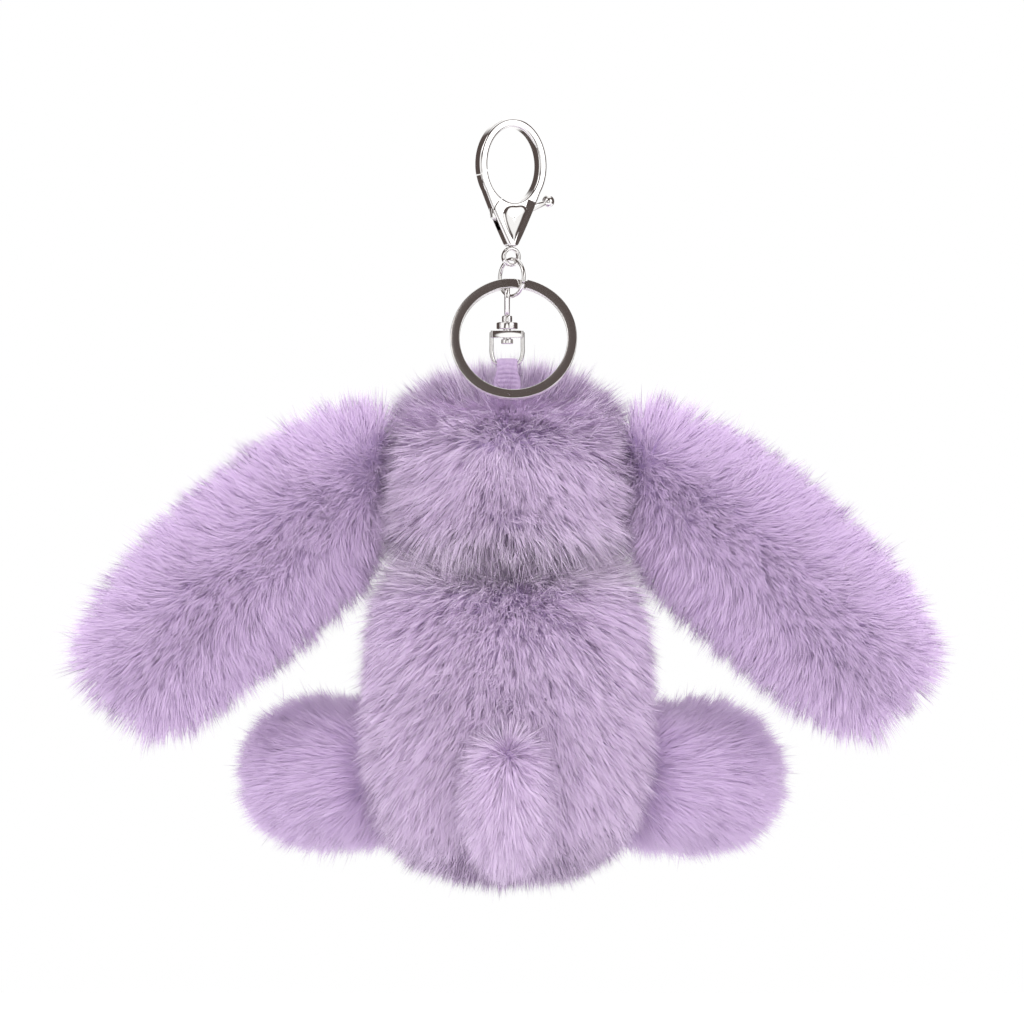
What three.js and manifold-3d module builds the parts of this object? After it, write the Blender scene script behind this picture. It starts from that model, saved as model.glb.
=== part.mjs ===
// A plush rabbit keychain: a lobster clasp, a jump ring and a flat split ring hold a swivel,
// and a ribbon from the swivel carries a sitting, lop-eared rabbit of long-pile fur.
// Millimetres, +Z up. The origin is the inside top of the clasp's hook, where it hangs.
// The rabbit looks along +Y, so its back and its tail are on the -Y side.
import * as THREE from 'three';
import Module from 'manifold-3d';
import { mergeVertices } from 'three/addons/utils/BufferGeometryUtils.js';

const wasm = await Module();
wasm.setup();

// ---- driving dimensions -------------------------------------------------------------------

const RUN_GAP = 0.25; // clearance between metal pieces that move on each other
const SOFT_GAP = 0.4; // clearance between a cover and its stuffing
const COVER_WALL = 2; // backing cloth and the pressed pile below it

// Lobster clasp
const CLASP_YAW = THREE.MathUtils.degToRad(25);
const CLASP_THICKNESS = 3.4;
const BAND_WIDTH = 2.1;
const OPENING_HALF_WIDTH = 6.7;
const OPENING_HALF_HEIGHT = 8.9;
const BODY_TIP_Z = -28.3;
const BODY_TIP_HALF_WIDTH = 1.1;
const GATE_PIVOT = new THREE.Vector2(-0.3, -21.4);
const GATE_HUB_RADIUS = 1.9;
const GATE_CHEEK_RADIUS = 5;
const GATE_TRAVEL = THREE.MathUtils.degToRad(30);
const GATE_NOSE_Z = -10.8;
const NOSE_GAP = 0.35;
const THUMB_BALL = new THREE.Vector2(9.8, -17.2);
const THUMB_BALL_RADIUS = 1.5;
const SLOT_HALF = 0.95;
const BLADE_HALF = 0.72;
const PIN_RADIUS = 0.6;
const SPRING_WIRE = 0.28;
const SPRING_RADIUS = 1.05;
const SPRING_TURNS = 1.6;
const SPRING_PITCH = 0.34;
const EYE_CENTRE_Z = -30.7;
const EYE_RADIUS = 1.95;
const EYE_SECTION = { radial: 0.5, axial: 0.85 };

// Jump ring, which hangs in the clasp's eye
const JUMP_RADIUS = 4.4;
const JUMP_WIRE = 0.47;
const JUMP_TURN = THREE.MathUtils.degToRad(40); // from the Y axis towards -X
const JUMP_CENTRE = new THREE.Vector3(0.2, 0, -35.65);
const RING_REACH = 1.55; // the key ring hangs this far from the jump ring's lowest point, on the near side
const SWIVEL_REACH = 1.75; // and the swivel this far on the far side

// Flat split ring of two turns
const KEY_RING_OUTER = 15;
const KEY_RING_WIDTH = 2.3;
const KEY_RING_LAYER = 0.8;
const KEY_RING_LAYER_GAP = 0.12;
const KEY_RING_STEP = THREE.MathUtils.degToRad(13);
const KEY_RING_LEAN = THREE.MathUtils.degToRad(16);
const KEY_RING_TOP_Z = -36;

// Swivel
const LOOP_WIRE = { across: 0.68, thick: 0.58 };
const LOOP_HALF_WIDTH = 2.7;
const LOOP_TOP_Z = -36.95;
const LOOP_BOTTOM_Z = -45.2;
const FLANGE = { radius: 2.6, top: -46.2, bottom: -47.9 };
const POST_RADIUS = 0.9;
const BRIDGE = { halfWidth: 3.9, halfDepth: 1.4, top: -48.2, bottom: -49.9, bore: 1.2 };
const RIVET = { radius: 1.45, top: -50.15, bottom: -51.4 };
const BOW_WIRE = 0.5;
const BOW_HALF_WIDTH = 3.7;
const BOW_SHOULDER_Z = -53.4;
const BOW_BAR_Z = -56;
const BOW_BAR_HALF = 3;

// Ribbon, folded over the bow's bar and sewn into the head
const RIBBON_WIDTH = 6.5;
const RIBBON_NECK = 4.9; // gathered where it passes round the bar
const RIBBON_LAYER = 0.45;
const RIBBON_BOTTOM_Z = -74;

// Rabbit. Every outline lies half-way up the pile, and the top of the head is pressed flat.
// Each form is a rounded box: a corner of 2 is an ellipse, and more is squarer.
const HEAD = { halfWidth: 26.5, halfDepth: 24, top: -65.8, bottom: -102.2, corner: 2.5 };
const TORSO = { halfWidth: 32, halfDepth: 24.5, top: -104.4, bottom: -176, corner: 2.6 };
const TORSO_SHIFT = -6.2; // the torso's shoulders lie this far behind the swivel's axis
const TORSO_LEAN = -3.5; // and its seat lies this much further back
const EAR_ROOT = new THREE.Vector3(27.4, 1.5, -80);
const EAR_BEND = new THREE.Vector3(60, 1.5, -105.5);
const EAR_TIP = new THREE.Vector3(98.4, 1.5, -131.5);
const EAR_HALF_WIDTH = 19;
const EAR_HALF_THICKNESS = 8;
const EAR_TURN = 0.3; // share of the ear's length over which it turns away from the head
const ARM_ROOT = new THREE.Vector3(22.5, 15.7, -113);
const ARM_END = new THREE.Vector3(27.5, 22.2, -131);
const ARM_RADIUS = 7.8;
const LEG_Z = -154.4;
const LEG_ANGLE = THREE.MathUtils.degToRad(35); // where the leg leaves the torso's oval
const LEG_LENGTH = 47;
const LEG_RADIUS = 16.2;
const TAIL_Z = -158.5;
const TAIL = { halfWidth: 9.5, halfDepth: 9, halfHeight: 15.2 };
const SEAM_GAP = 0.8; // between two sewn forms, where their pile meets
const OPENING_RINGS = 1; // rings of a form left open at its seam, beside the one at its tip
const EYE = { x: 11, z: -79, radius: 3.1, height: 2, shank: 0.9 };
const WASHER = { radius: 2.7, thickness: 0.8, depth: 4.9 };
const NOSE = { z: -86, halfWidth: 2.8, halfHeight: 1.8, thickness: 1 };

// ---- materials ----------------------------------------------------------------------------

const nickel = new THREE.MeshStandardMaterial({ color: 0xd8d6d4, roughness: 0.12, metalness: 1 });
const springSteel = new THREE.MeshStandardMaterial({ color: 0x9a989a, roughness: 0.3, metalness: 1 });
const grosgrain = new THREE.MeshStandardMaterial({ color: 0xc2a7ce, roughness: 0.8 });
const lilacFur = new THREE.MeshStandardMaterial({ color: 0xb199c0, roughness: 0.95 });
const paleFur = new THREE.MeshStandardMaterial({ color: 0xbdaac8, roughness: 0.95 });
const fibrefill = new THREE.MeshStandardMaterial({ color: 0xf2f0ee, roughness: 1 });
const blackPlastic = new THREE.MeshStandardMaterial({ color: 0x101010, roughness: 0.15 });
const clearPlastic = new THREE.MeshStandardMaterial({ color: 0xe6e6e6, roughness: 0.5 });
const pinkThread = new THREE.MeshStandardMaterial({ color: 0xd98fa8, roughness: 0.7 });

// ---- mesh helpers -------------------------------------------------------------------------

// Turns a row of point rings into one closed mesh. A ring of one point is a tip, a row that
// starts or ends on a full ring gets a flat cap there, and a loop joins its last ring to its first.
function skin(rings, { loop = false } = {}) {
  const points = [];
  const starts = rings.map((ring) => {
    points.push(...ring);
    return points.length - ring.length;
  });
  const faces = [];
  const join = (i, j) => {
    const [a, b] = [rings[i], rings[j]];
    const count = Math.max(a.length, b.length);
    for (let k = 0; k < count; k += 1) {
      const next = (k + 1) % count;
      if (a.length > 1) {
        faces.push([starts[i] + k, starts[i] + next, starts[j] + (b.length > 1 ? k : 0)]);
      }
      if (b.length > 1) {
        faces.push([starts[i] + (a.length > 1 ? next : 0), starts[j] + next, starts[j] + k]);
      }
    }
  };
  for (let i = 0; i + 1 < rings.length; i += 1) {
    join(i, i + 1);
  }
  if (loop) {
    join(rings.length - 1, 0);
  } else {
    for (const [end, flip] of [[0, true], [rings.length - 1, false]]) {
      const ring = rings[end];
      for (let k = 1; k + 1 < ring.length; k += 1) {
        const face = [starts[end], starts[end] + k, starts[end] + k + 1];
        faces.push(flip ? face.reverse() : face);
      }
    }
  }
  const volume = faces.reduce((sum, [a, b, c]) => {
    const normal = new THREE.Vector3().crossVectors(points[b], points[c]);
    return sum + points[a].dot(normal);
  }, 0);
  const index = volume < 0 ? faces.flatMap((face) => [...face].reverse()) : faces.flat();
  const geometry = new THREE.BufferGeometry().setFromPoints(points);
  geometry.setIndex(index);
  return geometry;
}

function toSolid(geometry) {
  const bare = geometry.clone();
  bare.deleteAttribute('normal');
  bare.deleteAttribute('uv');
  const merged = mergeVertices(bare, 1e-5);
  const mesh = new wasm.Mesh({
    numProp: 3,
    vertProperties: new Float32Array(merged.attributes.position.array),
    triVerts: new Uint32Array(merged.index.array),
  });
  return new wasm.Manifold(mesh);
}

function toGeometry(solid) {
  const mesh = solid.getMesh();
  const geometry = new THREE.BufferGeometry();
  geometry.setAttribute('position', new THREE.BufferAttribute(new Float32Array(mesh.vertProperties), 3));
  geometry.setIndex(new THREE.BufferAttribute(new Uint32Array(mesh.triVerts), 1));
  return geometry;
}

function joined(...geometries) {
  return toGeometry(geometries.map(toSolid).reduce((a, b) => a.add(b)));
}

function cut(geometry, ...tools) {
  return toGeometry(tools.map(toSolid).reduce((a, b) => a.subtract(b), toSolid(geometry)));
}

// A flat outline drawn in X and Z and given a thickness along Y, centred on y.
function plate(shape, thickness, y = 0, curveSegments = 20, bevel = 0) {
  const geometry = new THREE.ExtrudeGeometry(shape, {
    depth: thickness - 2 * bevel,
    curveSegments,
    bevelEnabled: bevel > 0,
    bevelThickness: bevel,
    bevelSize: bevel,
    bevelOffset: -bevel,
    bevelSegments: 1,
  });
  geometry.translate(0, 0, -thickness / 2 + bevel);
  geometry.rotateX(Math.PI / 2);
  geometry.translate(0, y, 0);
  return geometry;
}

function cylinderAlongY(radius, length, x, y, z, sides = 20) {
  return new THREE.CylinderGeometry(radius, radius, length, sides).translate(x, y, z);
}

function cylinderAlongZ(radius, top, bottom, sides = 20) {
  const geometry = new THREE.CylinderGeometry(radius, radius, top - bottom, sides);
  geometry.rotateX(Math.PI / 2);
  geometry.translate(0, 0, (top + bottom) / 2);
  return geometry;
}

// Rings of a round or oval section along a path. frame(t) gives the section's centre and its
// two unit directions, and half is the section's half sizes along them.
function sweep(frame, half, steps, sides, options = {}) {
  const count = options.loop ? steps : steps + 1;
  const rings = Array.from({ length: count }, (_, i) => {
    const { centre, across, along } = frame(i / steps);
    return Array.from({ length: sides }, (__, k) => {
      const angle = ((k + 0.5) / sides) * 2 * Math.PI;
      return centre.clone()
        .addScaledVector(across, half[0] * Math.cos(angle))
        .addScaledVector(along, half[1] * Math.sin(angle));
    });
  });
  return skin(rings, options);
}

// A round wire bent along a flat or curved run of points.
function wire(curve, radius, steps, sides, loop = false) {
  return sweep((t) => {
    const tangent = curve.getTangentAt(Math.min(t, 1));
    const helper = Math.abs(tangent.y) < 0.9 ? new THREE.Vector3(0, 1, 0) : new THREE.Vector3(1, 0, 0);
    const across = new THREE.Vector3().crossVectors(tangent, helper).normalize();
    const along = new THREE.Vector3().crossVectors(tangent, across);
    return { centre: curve.getPointAt(Math.min(t, 1)), across, along };
  }, [radius, radius], steps, sides, { loop });
}

// The same surface moved inwards by a distance, ring by ring.
function shrunk(rings, distance) {
  const middle = new THREE.Vector3();
  rings.forEach((ring) => ring.forEach((p) => middle.add(p)));
  middle.divideScalar(rings.reduce((sum, ring) => sum + ring.length, 0));
  const sides = Math.max(...rings.map((ring) => ring.length));
  const at = (i, k) => rings[i][rings[i].length > 1 ? (k + sides) % sides : 0];
  const last = rings.length - 1;
  return rings.map((ring, i) => ring.map((p, k) => {
    const normal = new THREE.Vector3();
    if (ring.length === 1) {
      const other = rings[i === 0 ? 1 : last - 1];
      other.forEach((q) => normal.add(q));
      normal.divideScalar(other.length).sub(p).normalize().negate();
    } else {
      const down = at(Math.max(i - 1, 0), k).clone().sub(at(Math.min(i + 1, last), k));
      const round = at(i, k + 1).clone().sub(at(i, k - 1));
      normal.crossVectors(down, round).normalize();
      if (normal.dot(p.clone().sub(ringCentre(ring))) < 0) {
        normal.negate();
      }
    }
    return p.clone().addScaledVector(normal, -distance);
  }));
}

function ringCentre(ring) {
  const centre = new THREE.Vector3();
  ring.forEach((p) => centre.add(p));
  return centre.divideScalar(ring.length);
}

// A sewn cover: the outer surface and an inner one, joined round the opening at its root.
function coverOf(rings) {
  const outer = rings.slice(OPENING_RINGS);
  const inner = shrunk(rings, COVER_WALL).slice(OPENING_RINGS);
  return skin([...outer.reverse(), ...inner]);
}

// The ring beside the root is left out, because the seam presses the stuffing in there.
function stuffingOf(rings) {
  return skin(shrunk(rings, COVER_WALL + SOFT_GAP).filter((ring, i) => i !== 1));
}

const group = new THREE.Group();
function add(name, geometry, material, parent = group) {
  const mesh = new THREE.Mesh(geometry, material);
  mesh.name = name;
  parent.add(mesh);
  return mesh;
}

// ---- clasp --------------------------------------------------------------------------------

const clasp = new THREE.Group();
clasp.rotation.z = CLASP_YAW;
group.add(clasp);

const outerHalfWidth = OPENING_HALF_WIDTH + BAND_WIDTH;
const outerHalfHeight = OPENING_HALF_HEIGHT + BAND_WIDTH;
const flankAngle = THREE.MathUtils.degToRad(35); // below the level of the opening's middle

function claspOutline() {
  const shape = new THREE.Shape();
  shape.absellipse(0, -OPENING_HALF_HEIGHT, outerHalfWidth, outerHalfHeight, -flankAngle,
    Math.PI + flankAngle, false, 0);
  shape.quadraticCurveTo(-4.6, -21.6, -BODY_TIP_HALF_WIDTH, BODY_TIP_Z);
  shape.lineTo(BODY_TIP_HALF_WIDTH, BODY_TIP_Z);
  shape.quadraticCurveTo(4.6, -21.6, outerHalfWidth * Math.cos(flankAngle),
    -OPENING_HALF_HEIGHT - outerHalfHeight * Math.sin(flankAngle));
  return shape;
}

function openingOutline(grow = 0) {
  const path = new THREE.Path();
  path.absellipse(0, -OPENING_HALF_HEIGHT, OPENING_HALF_WIDTH + grow, OPENING_HALF_HEIGHT + grow,
    0, 2 * Math.PI, true, 0);
  return path;
}

// A pie slice about the gate's pin, between two angles measured from +X.
function slice(radius, from, to) {
  const shape = new THREE.Shape();
  shape.moveTo(GATE_PIVOT.x, GATE_PIVOT.y);
  shape.lineTo(GATE_PIVOT.x + radius * Math.cos(from), GATE_PIVOT.y + radius * Math.sin(from));
  shape.absarc(GATE_PIVOT.x, GATE_PIVOT.y, radius, from, to, false);
  shape.lineTo(GATE_PIVOT.x, GATE_PIVOT.y);
  return shape;
}

function disc(radius) {
  const shape = new THREE.Shape();
  shape.absarc(GATE_PIVOT.x, GATE_PIVOT.y, radius, 0, 2 * Math.PI, false);
  return shape;
}

const thumbAngle = Math.atan2(THUMB_BALL.y - GATE_PIVOT.y, THUMB_BALL.x - GATE_PIVOT.x);
const gateFrom = THREE.MathUtils.degToRad(112);
const gateTo = THREE.MathUtils.degToRad(183);
const eyeRim = (t) => {
  const angle = 2 * Math.PI * t;
  const outward = new THREE.Vector3(Math.cos(angle), 0, Math.sin(angle));
  const centre = outward.clone().multiplyScalar(EYE_RADIUS).setZ(outward.z * EYE_RADIUS + EYE_CENTRE_Z);
  return { centre, across: outward, along: new THREE.Vector3(0, 1, 0) };
};

function claspBody() {
  const outline = claspOutline();
  outline.holes.push(openingOutline());
  const panel = new THREE.Shape();
  panel.moveTo(0, BODY_TIP_Z + 0.4);
  panel.quadraticCurveTo(-3.2, -23, -3.1, -20.4);
  panel.quadraticCurveTo(-2.4, -18.1, 0.6, -18.4);
  panel.quadraticCurveTo(3.4, -17.8, 3.6, -19.6);
  panel.quadraticCurveTo(2.9, -23.6, 0, BODY_TIP_Z + 0.4);
  const eye = sweep(eyeRim, [EYE_SECTION.radial, EYE_SECTION.axial], 24, 8, { loop: true });
  const body = joined(plate(outline, CLASP_THICKNESS, 0, 18), plate(panel, CLASP_THICKNESS + 0.9, 0, 8), eye);
  const gateRoom = slice(13, gateFrom, gateTo);
  const gateKeep = disc(GATE_CHEEK_RADIUS);
  const noseCut = new THREE.Shape([
    new THREE.Vector2(-12, GATE_NOSE_Z), new THREE.Vector2(-4, GATE_NOSE_Z + 1.2),
    new THREE.Vector2(-4, 3), new THREE.Vector2(-12, 3),
  ]);
  const room = toSolid(plate(gateRoom, 8)).subtract(toSolid(plate(gateKeep, 9, 0, 16)))
    .subtract(toSolid(plate(noseCut, 9)));
  const slot = joined(
    plate(disc(GATE_HUB_RADIUS + 2.2), 2 * SLOT_HALF, 0, 8),
    plate(slice(GATE_CHEEK_RADIUS + 1, gateFrom - GATE_TRAVEL, gateTo + 0.5), 2 * SLOT_HALF),
    plate(slice(14, thumbAngle - GATE_TRAVEL - 0.24, thumbAngle + 0.24), 2 * SLOT_HALF),
  );
  const pinBore = cylinderAlongY(PIN_RADIUS + 0.05, 8, GATE_PIVOT.x, 0, GATE_PIVOT.y, 16);
  return cut(toGeometry(toSolid(body).subtract(room)), slot, pinBore);
}

function claspGate() {
  const outline = claspOutline();
  outline.holes.push(openingOutline());
  const arm = slice(13 - RUN_GAP, gateFrom + 0.03, gateTo - 0.06);
  const nose = new THREE.Shape([
    new THREE.Vector2(-12, GATE_NOSE_Z - NOSE_GAP), new THREE.Vector2(-3, GATE_NOSE_Z + 0.6 - NOSE_GAP),
    new THREE.Vector2(-3, 3), new THREE.Vector2(-12, 3),
  ]);
  const band = toSolid(plate(outline, CLASP_THICKNESS - 0.4, 0, 18)).intersect(toSolid(plate(arm, 8)))
    .subtract(toSolid(plate(nose, 9)));
  const thick = band.subtract(toSolid(plate(disc(GATE_CHEEK_RADIUS + RUN_GAP), 9, 0, 16)));
  const blade = band.intersect(toSolid(plate(disc(GATE_CHEEK_RADIUS + 2), 2 * BLADE_HALF, 0, 12)));
  const web = new THREE.Shape();
  web.moveTo(GATE_PIVOT.x, GATE_PIVOT.y - GATE_HUB_RADIUS + 0.3);
  web.lineTo(GATE_PIVOT.x - 4.7, GATE_PIVOT.y + 0.1);
  web.lineTo(GATE_PIVOT.x - 3.4, GATE_PIVOT.y + 3.2);
  web.lineTo(GATE_PIVOT.x, GATE_PIVOT.y + GATE_HUB_RADIUS - 0.3);
  const lever = new THREE.Shape();
  const side = new THREE.Vector2(-Math.sin(thumbAngle), Math.cos(thumbAngle)).multiplyScalar(0.7);
  lever.moveTo(GATE_PIVOT.x + side.x * 1.6, GATE_PIVOT.y + side.y * 1.6);
  lever.lineTo(THUMB_BALL.x + side.x, THUMB_BALL.y + side.y);
  lever.lineTo(THUMB_BALL.x - side.x, THUMB_BALL.y - side.y);
  lever.lineTo(GATE_PIVOT.x - side.x * 1.6, GATE_PIVOT.y - side.y * 1.6);
  // The spring takes one half of the slot round the pin, so the hub fills only the other.
  const springRoom = cylinderAlongY(GATE_HUB_RADIUS + 0.1, 2, GATE_PIVOT.x, 1.05, GATE_PIVOT.y, 20);
  const hub = cylinderAlongY(GATE_HUB_RADIUS, 2 * BLADE_HALF, GATE_PIVOT.x, 0, GATE_PIVOT.y, 20);
  const ball = new THREE.SphereGeometry(THUMB_BALL_RADIUS, 14, 10);
  ball.translate(THUMB_BALL.x, 0, THUMB_BALL.y);
  const solid = thick.add(blade).add(toSolid(joined(
    plate(web, 2 * BLADE_HALF), plate(lever, 2 * BLADE_HALF), hub, ball,
  )));
  const bore = cylinderAlongY(PIN_RADIUS + 0.08, 8, GATE_PIVOT.x, 0, GATE_PIVOT.y, 16);
  return cut(toGeometry(solid), springRoom, bore);
}

function gateSpring() {
  const turns = SPRING_TURNS * 2 * Math.PI;
  const frame = (t) => {
    const angle = turns * t;
    const outward = new THREE.Vector3(Math.cos(angle), 0, Math.sin(angle));
    const centre = outward.clone().multiplyScalar(SPRING_RADIUS);
    centre.add(new THREE.Vector3(GATE_PIVOT.x, 0.2 + SPRING_PITCH * SPRING_TURNS * t, GATE_PIVOT.y));
    return { centre, across: outward, along: new THREE.Vector3(0, 1, 0) };
  };
  return sweep(frame, [SPRING_WIRE / 2, SPRING_WIRE / 2], 32, 6);
}

const claspPin = cylinderAlongY(PIN_RADIUS, CLASP_THICKNESS + 0.9, GATE_PIVOT.x, 0, GATE_PIVOT.y, 16);
add('clasp_body', claspBody(), nickel, clasp);
add('clasp_gate', claspGate(), nickel, clasp);
add('gate_pin', claspPin, nickel, clasp);
add('gate_spring', gateSpring(), springSteel, clasp);

// ---- rings --------------------------------------------------------------------------------

const wireDirection = new THREE.Vector3(-Math.sin(JUMP_TURN), Math.cos(JUMP_TURN), 0);
const ringContact = JUMP_CENTRE.clone().addScaledVector(wireDirection, -RING_REACH);
const swivelContact = JUMP_CENTRE.clone().addScaledVector(wireDirection, SWIVEL_REACH);

function jumpRing() {
  // The wire's two ends meet on the near side, half-way up.
  const from = THREE.MathUtils.degToRad(199);
  const sweepAngle = THREE.MathUtils.degToRad(357);
  return sweep((t) => {
    const angle = from + sweepAngle * t;
    const outward = wireDirection.clone().multiplyScalar(Math.cos(angle)).setZ(Math.sin(angle));
    const centre = JUMP_CENTRE.clone().addScaledVector(outward, JUMP_RADIUS);
    const along = new THREE.Vector3(wireDirection.y, -wireDirection.x, 0);
    return { centre, across: outward, along };
  }, [JUMP_WIRE, JUMP_WIRE], 36, 8);
}

// The path starts just right of the top, runs two turns clockwise as seen from -Y, and steps
// from the front layer to the back one where it passes the top.
function keyRing() {
  const middle = KEY_RING_OUTER - KEY_RING_WIDTH / 2;
  const offset = (KEY_RING_LAYER + KEY_RING_LAYER_GAP) / 2;
  const from = KEY_RING_STEP;
  const to = 4 * Math.PI - KEY_RING_STEP;
  const corner = 0.16;
  const [w, h] = [KEY_RING_WIDTH / 2, KEY_RING_LAYER / 2];
  const section = [
    [w, h - corner], [w - corner, h], [corner - w, h], [-w, h - corner],
    [-w, corner - h], [corner - w, -h], [w - corner, -h], [w, corner - h],
  ];
  const rings = [];
  const steps = 76;
  for (let i = 0; i <= steps; i += 1) {
    const angle = from + ((to - from) * i) / steps;
    const past = THREE.MathUtils.clamp((angle - 2 * Math.PI) / KEY_RING_STEP, -1, 1);
    const y = offset * Math.sin((past * Math.PI) / 2);
    rings.push(section.map(([out, side]) => new THREE.Vector3(
      (middle + out) * Math.sin(angle), y + side, (middle + out) * Math.cos(angle) - KEY_RING_OUTER,
    )));
  }
  return skin(rings);
}

add('jump_ring', jumpRing(), nickel);
const keyRingMesh = add('key_ring', keyRing(), nickel);
keyRingMesh.rotation.x = -KEY_RING_LEAN;
keyRingMesh.position.set(0.6, ringContact.y, KEY_RING_TOP_Z);

// ---- swivel and ribbon --------------------------------------------------------------------

const swivel = new THREE.Group();
swivel.position.set(swivelContact.x, swivelContact.y, 0);
group.add(swivel);

function swivelEye() {
  const low = LOOP_BOTTOM_Z + 1.1;
  const high = LOOP_TOP_Z - LOOP_HALF_WIDTH;
  const reach = LOOP_HALF_WIDTH * Math.SQRT1_2;
  const loop = new THREE.CatmullRomCurve3([
    [0, LOOP_TOP_Z], [reach, high + reach], [LOOP_HALF_WIDTH, high], [2.2, high - 1.9],
    [1.05, low], [0, LOOP_BOTTOM_Z + 0.5], [-1.05, low], [-2.2, high - 1.9],
    [-LOOP_HALF_WIDTH, high], [-reach, high + reach],
  ].map(([y, z]) => new THREE.Vector3(0, y, z)), true);
  const wireLoop = sweep((t) => {
    const tangent = loop.getTangent(t);
    return {
      centre: loop.getPoint(t),
      across: new THREE.Vector3(1, 0, 0),
      along: new THREE.Vector3(1, 0, 0).cross(tangent),
    };
  }, [LOOP_WIRE.across, LOOP_WIRE.thick], 32, 8, { loop: true });
  return joined(
    wireLoop,
    cylinderAlongZ(1.25, LOOP_BOTTOM_Z + 0.6, FLANGE.top - 0.1, 16),
    cylinderAlongZ(FLANGE.radius, FLANGE.top, FLANGE.bottom, 24),
    cylinderAlongZ(POST_RADIUS, FLANGE.bottom + 0.1, RIVET.top - 0.1, 16),
    cylinderAlongZ(RIVET.radius, RIVET.top, RIVET.bottom, 16),
  );
}

function swivelBow() {
  const bridge = new THREE.BoxGeometry(2 * BRIDGE.halfWidth, 2 * BRIDGE.halfDepth, BRIDGE.top - BRIDGE.bottom);
  bridge.translate(0, 0, (BRIDGE.top + BRIDGE.bottom) / 2);
  const bow = new THREE.CatmullRomCurve3([
    [-BOW_HALF_WIDTH, BRIDGE.top - 0.4], [-BOW_HALF_WIDTH, BRIDGE.bottom - 1.6],
    [-BOW_HALF_WIDTH, BOW_SHOULDER_Z], [-BOW_BAR_HALF - 0.2, BOW_BAR_Z + 0.7],
    [-BOW_BAR_HALF + 0.7, BOW_BAR_Z], [0, BOW_BAR_Z], [BOW_BAR_HALF - 0.7, BOW_BAR_Z],
    [BOW_BAR_HALF + 0.2, BOW_BAR_Z + 0.7], [BOW_HALF_WIDTH, BOW_SHOULDER_Z],
    [BOW_HALF_WIDTH, BRIDGE.bottom - 1.6], [BOW_HALF_WIDTH, BRIDGE.top - 0.4],
  ].map(([x, z]) => new THREE.Vector3(x, 0, z)));
  return cut(
    joined(bridge, wire(bow, BOW_WIRE, 44, 8)),
    cylinderAlongZ(BRIDGE.bore, BRIDGE.top + 1, BRIDGE.bottom - 1, 20),
  );
}

function ribbonStrap() {
  const inner = BOW_WIRE + RUN_GAP;
  const outer = inner + RIBBON_LAYER;
  const outline = new THREE.Shape();
  outline.absarc(0, BOW_BAR_Z, outer, 0, Math.PI, false);
  outline.quadraticCurveTo(-outer, BOW_BAR_Z - 2.2, -RIBBON_LAYER, BOW_BAR_Z - 4);
  outline.lineTo(-RIBBON_LAYER, RIBBON_BOTTOM_Z);
  outline.lineTo(RIBBON_LAYER, RIBBON_BOTTOM_Z);
  outline.lineTo(RIBBON_LAYER, BOW_BAR_Z - 4);
  outline.quadraticCurveTo(outer, BOW_BAR_Z - 2.2, outer, BOW_BAR_Z);
  const hole = new THREE.Path();
  hole.absarc(0, BOW_BAR_Z, inner, 0, 2 * Math.PI, true);
  outline.holes.push(hole);
  const gathered = new THREE.BoxGeometry(20, 4, 4).translate(RIBBON_NECK / 2 + 10, 0, BOW_BAR_Z);
  return cut(
    plate(outline, RIBBON_WIDTH, 0, 8).rotateZ(Math.PI / 2),
    gathered, gathered.clone().rotateZ(Math.PI),
  );
}

add('swivel_eye', swivelEye(), nickel, swivel);
add('swivel_bow', swivelBow(), nickel, swivel);
add('ribbon', ribbonStrap(), grosgrain, swivel);

// ---- rabbit -------------------------------------------------------------------------------

const rabbit = new THREE.Group();
rabbit.position.copy(swivel.position);
group.add(rabbit);

const share = (value, corner) => Math.max(0, 1 - Math.abs(value) ** corner) ** (1 / corner);

// Rings of a rounded box stacked along Z from its bottom tip to its top one. middle(z) gives each
// ring's centre.
function stacked({ halfWidth, halfDepth, top, bottom, corner }, middle, levels, sides) {
  return Array.from({ length: levels + 1 }, (_, i) => {
    const rise = -Math.cos((Math.PI * i) / levels);
    const eased = Math.sign(rise) * Math.abs(rise) ** (2 / corner);
    const z = (top + bottom) / 2 + (eased * (top - bottom)) / 2;
    const size = share(eased, corner);
    const centre = middle(z);
    if (i === 0 || i === levels) {
      return [new THREE.Vector3(centre.x, centre.y, z)];
    }
    return Array.from({ length: sides }, (__, k) => {
      const angle = (k / sides) * 2 * Math.PI;
      return new THREE.Vector3(
        centre.x + halfWidth * size * Math.cos(angle), centre.y + halfDepth * size * Math.sin(angle), z,
      );
    });
  });
}

// Rings of a limb along a curve. girth(u) gives the section's two half sizes, u from 0 to 1. With a
// seam direction, the first rings face that way, and the rest turn to follow the curve.
function limb(curve, girth, levels, sides, seam) {
  return Array.from({ length: levels + 1 }, (_, i) => {
    const u = i / levels;
    const t = (1 - Math.cos(Math.PI * u)) / 2;
    const centre = curve.getPoint(t);
    if (i === 0 || i === levels) {
      return [centre];
    }
    const tangent = curve.getTangent(t);
    if (seam) {
      tangent.lerpVectors(seam, tangent, Math.min(1, t / EAR_TURN)).normalize();
    }
    const across = new THREE.Vector3(0, 1, 0).cross(tangent).normalize();
    const along = new THREE.Vector3().crossVectors(tangent, across);
    const [wide, thick] = girth(u);
    return Array.from({ length: sides }, (__, k) => {
      const angle = (k / sides) * 2 * Math.PI;
      return centre.clone()
        .addScaledVector(across, wide * Math.cos(angle))
        .addScaledVector(along, thick * Math.sin(angle));
    });
  });
}

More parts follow.
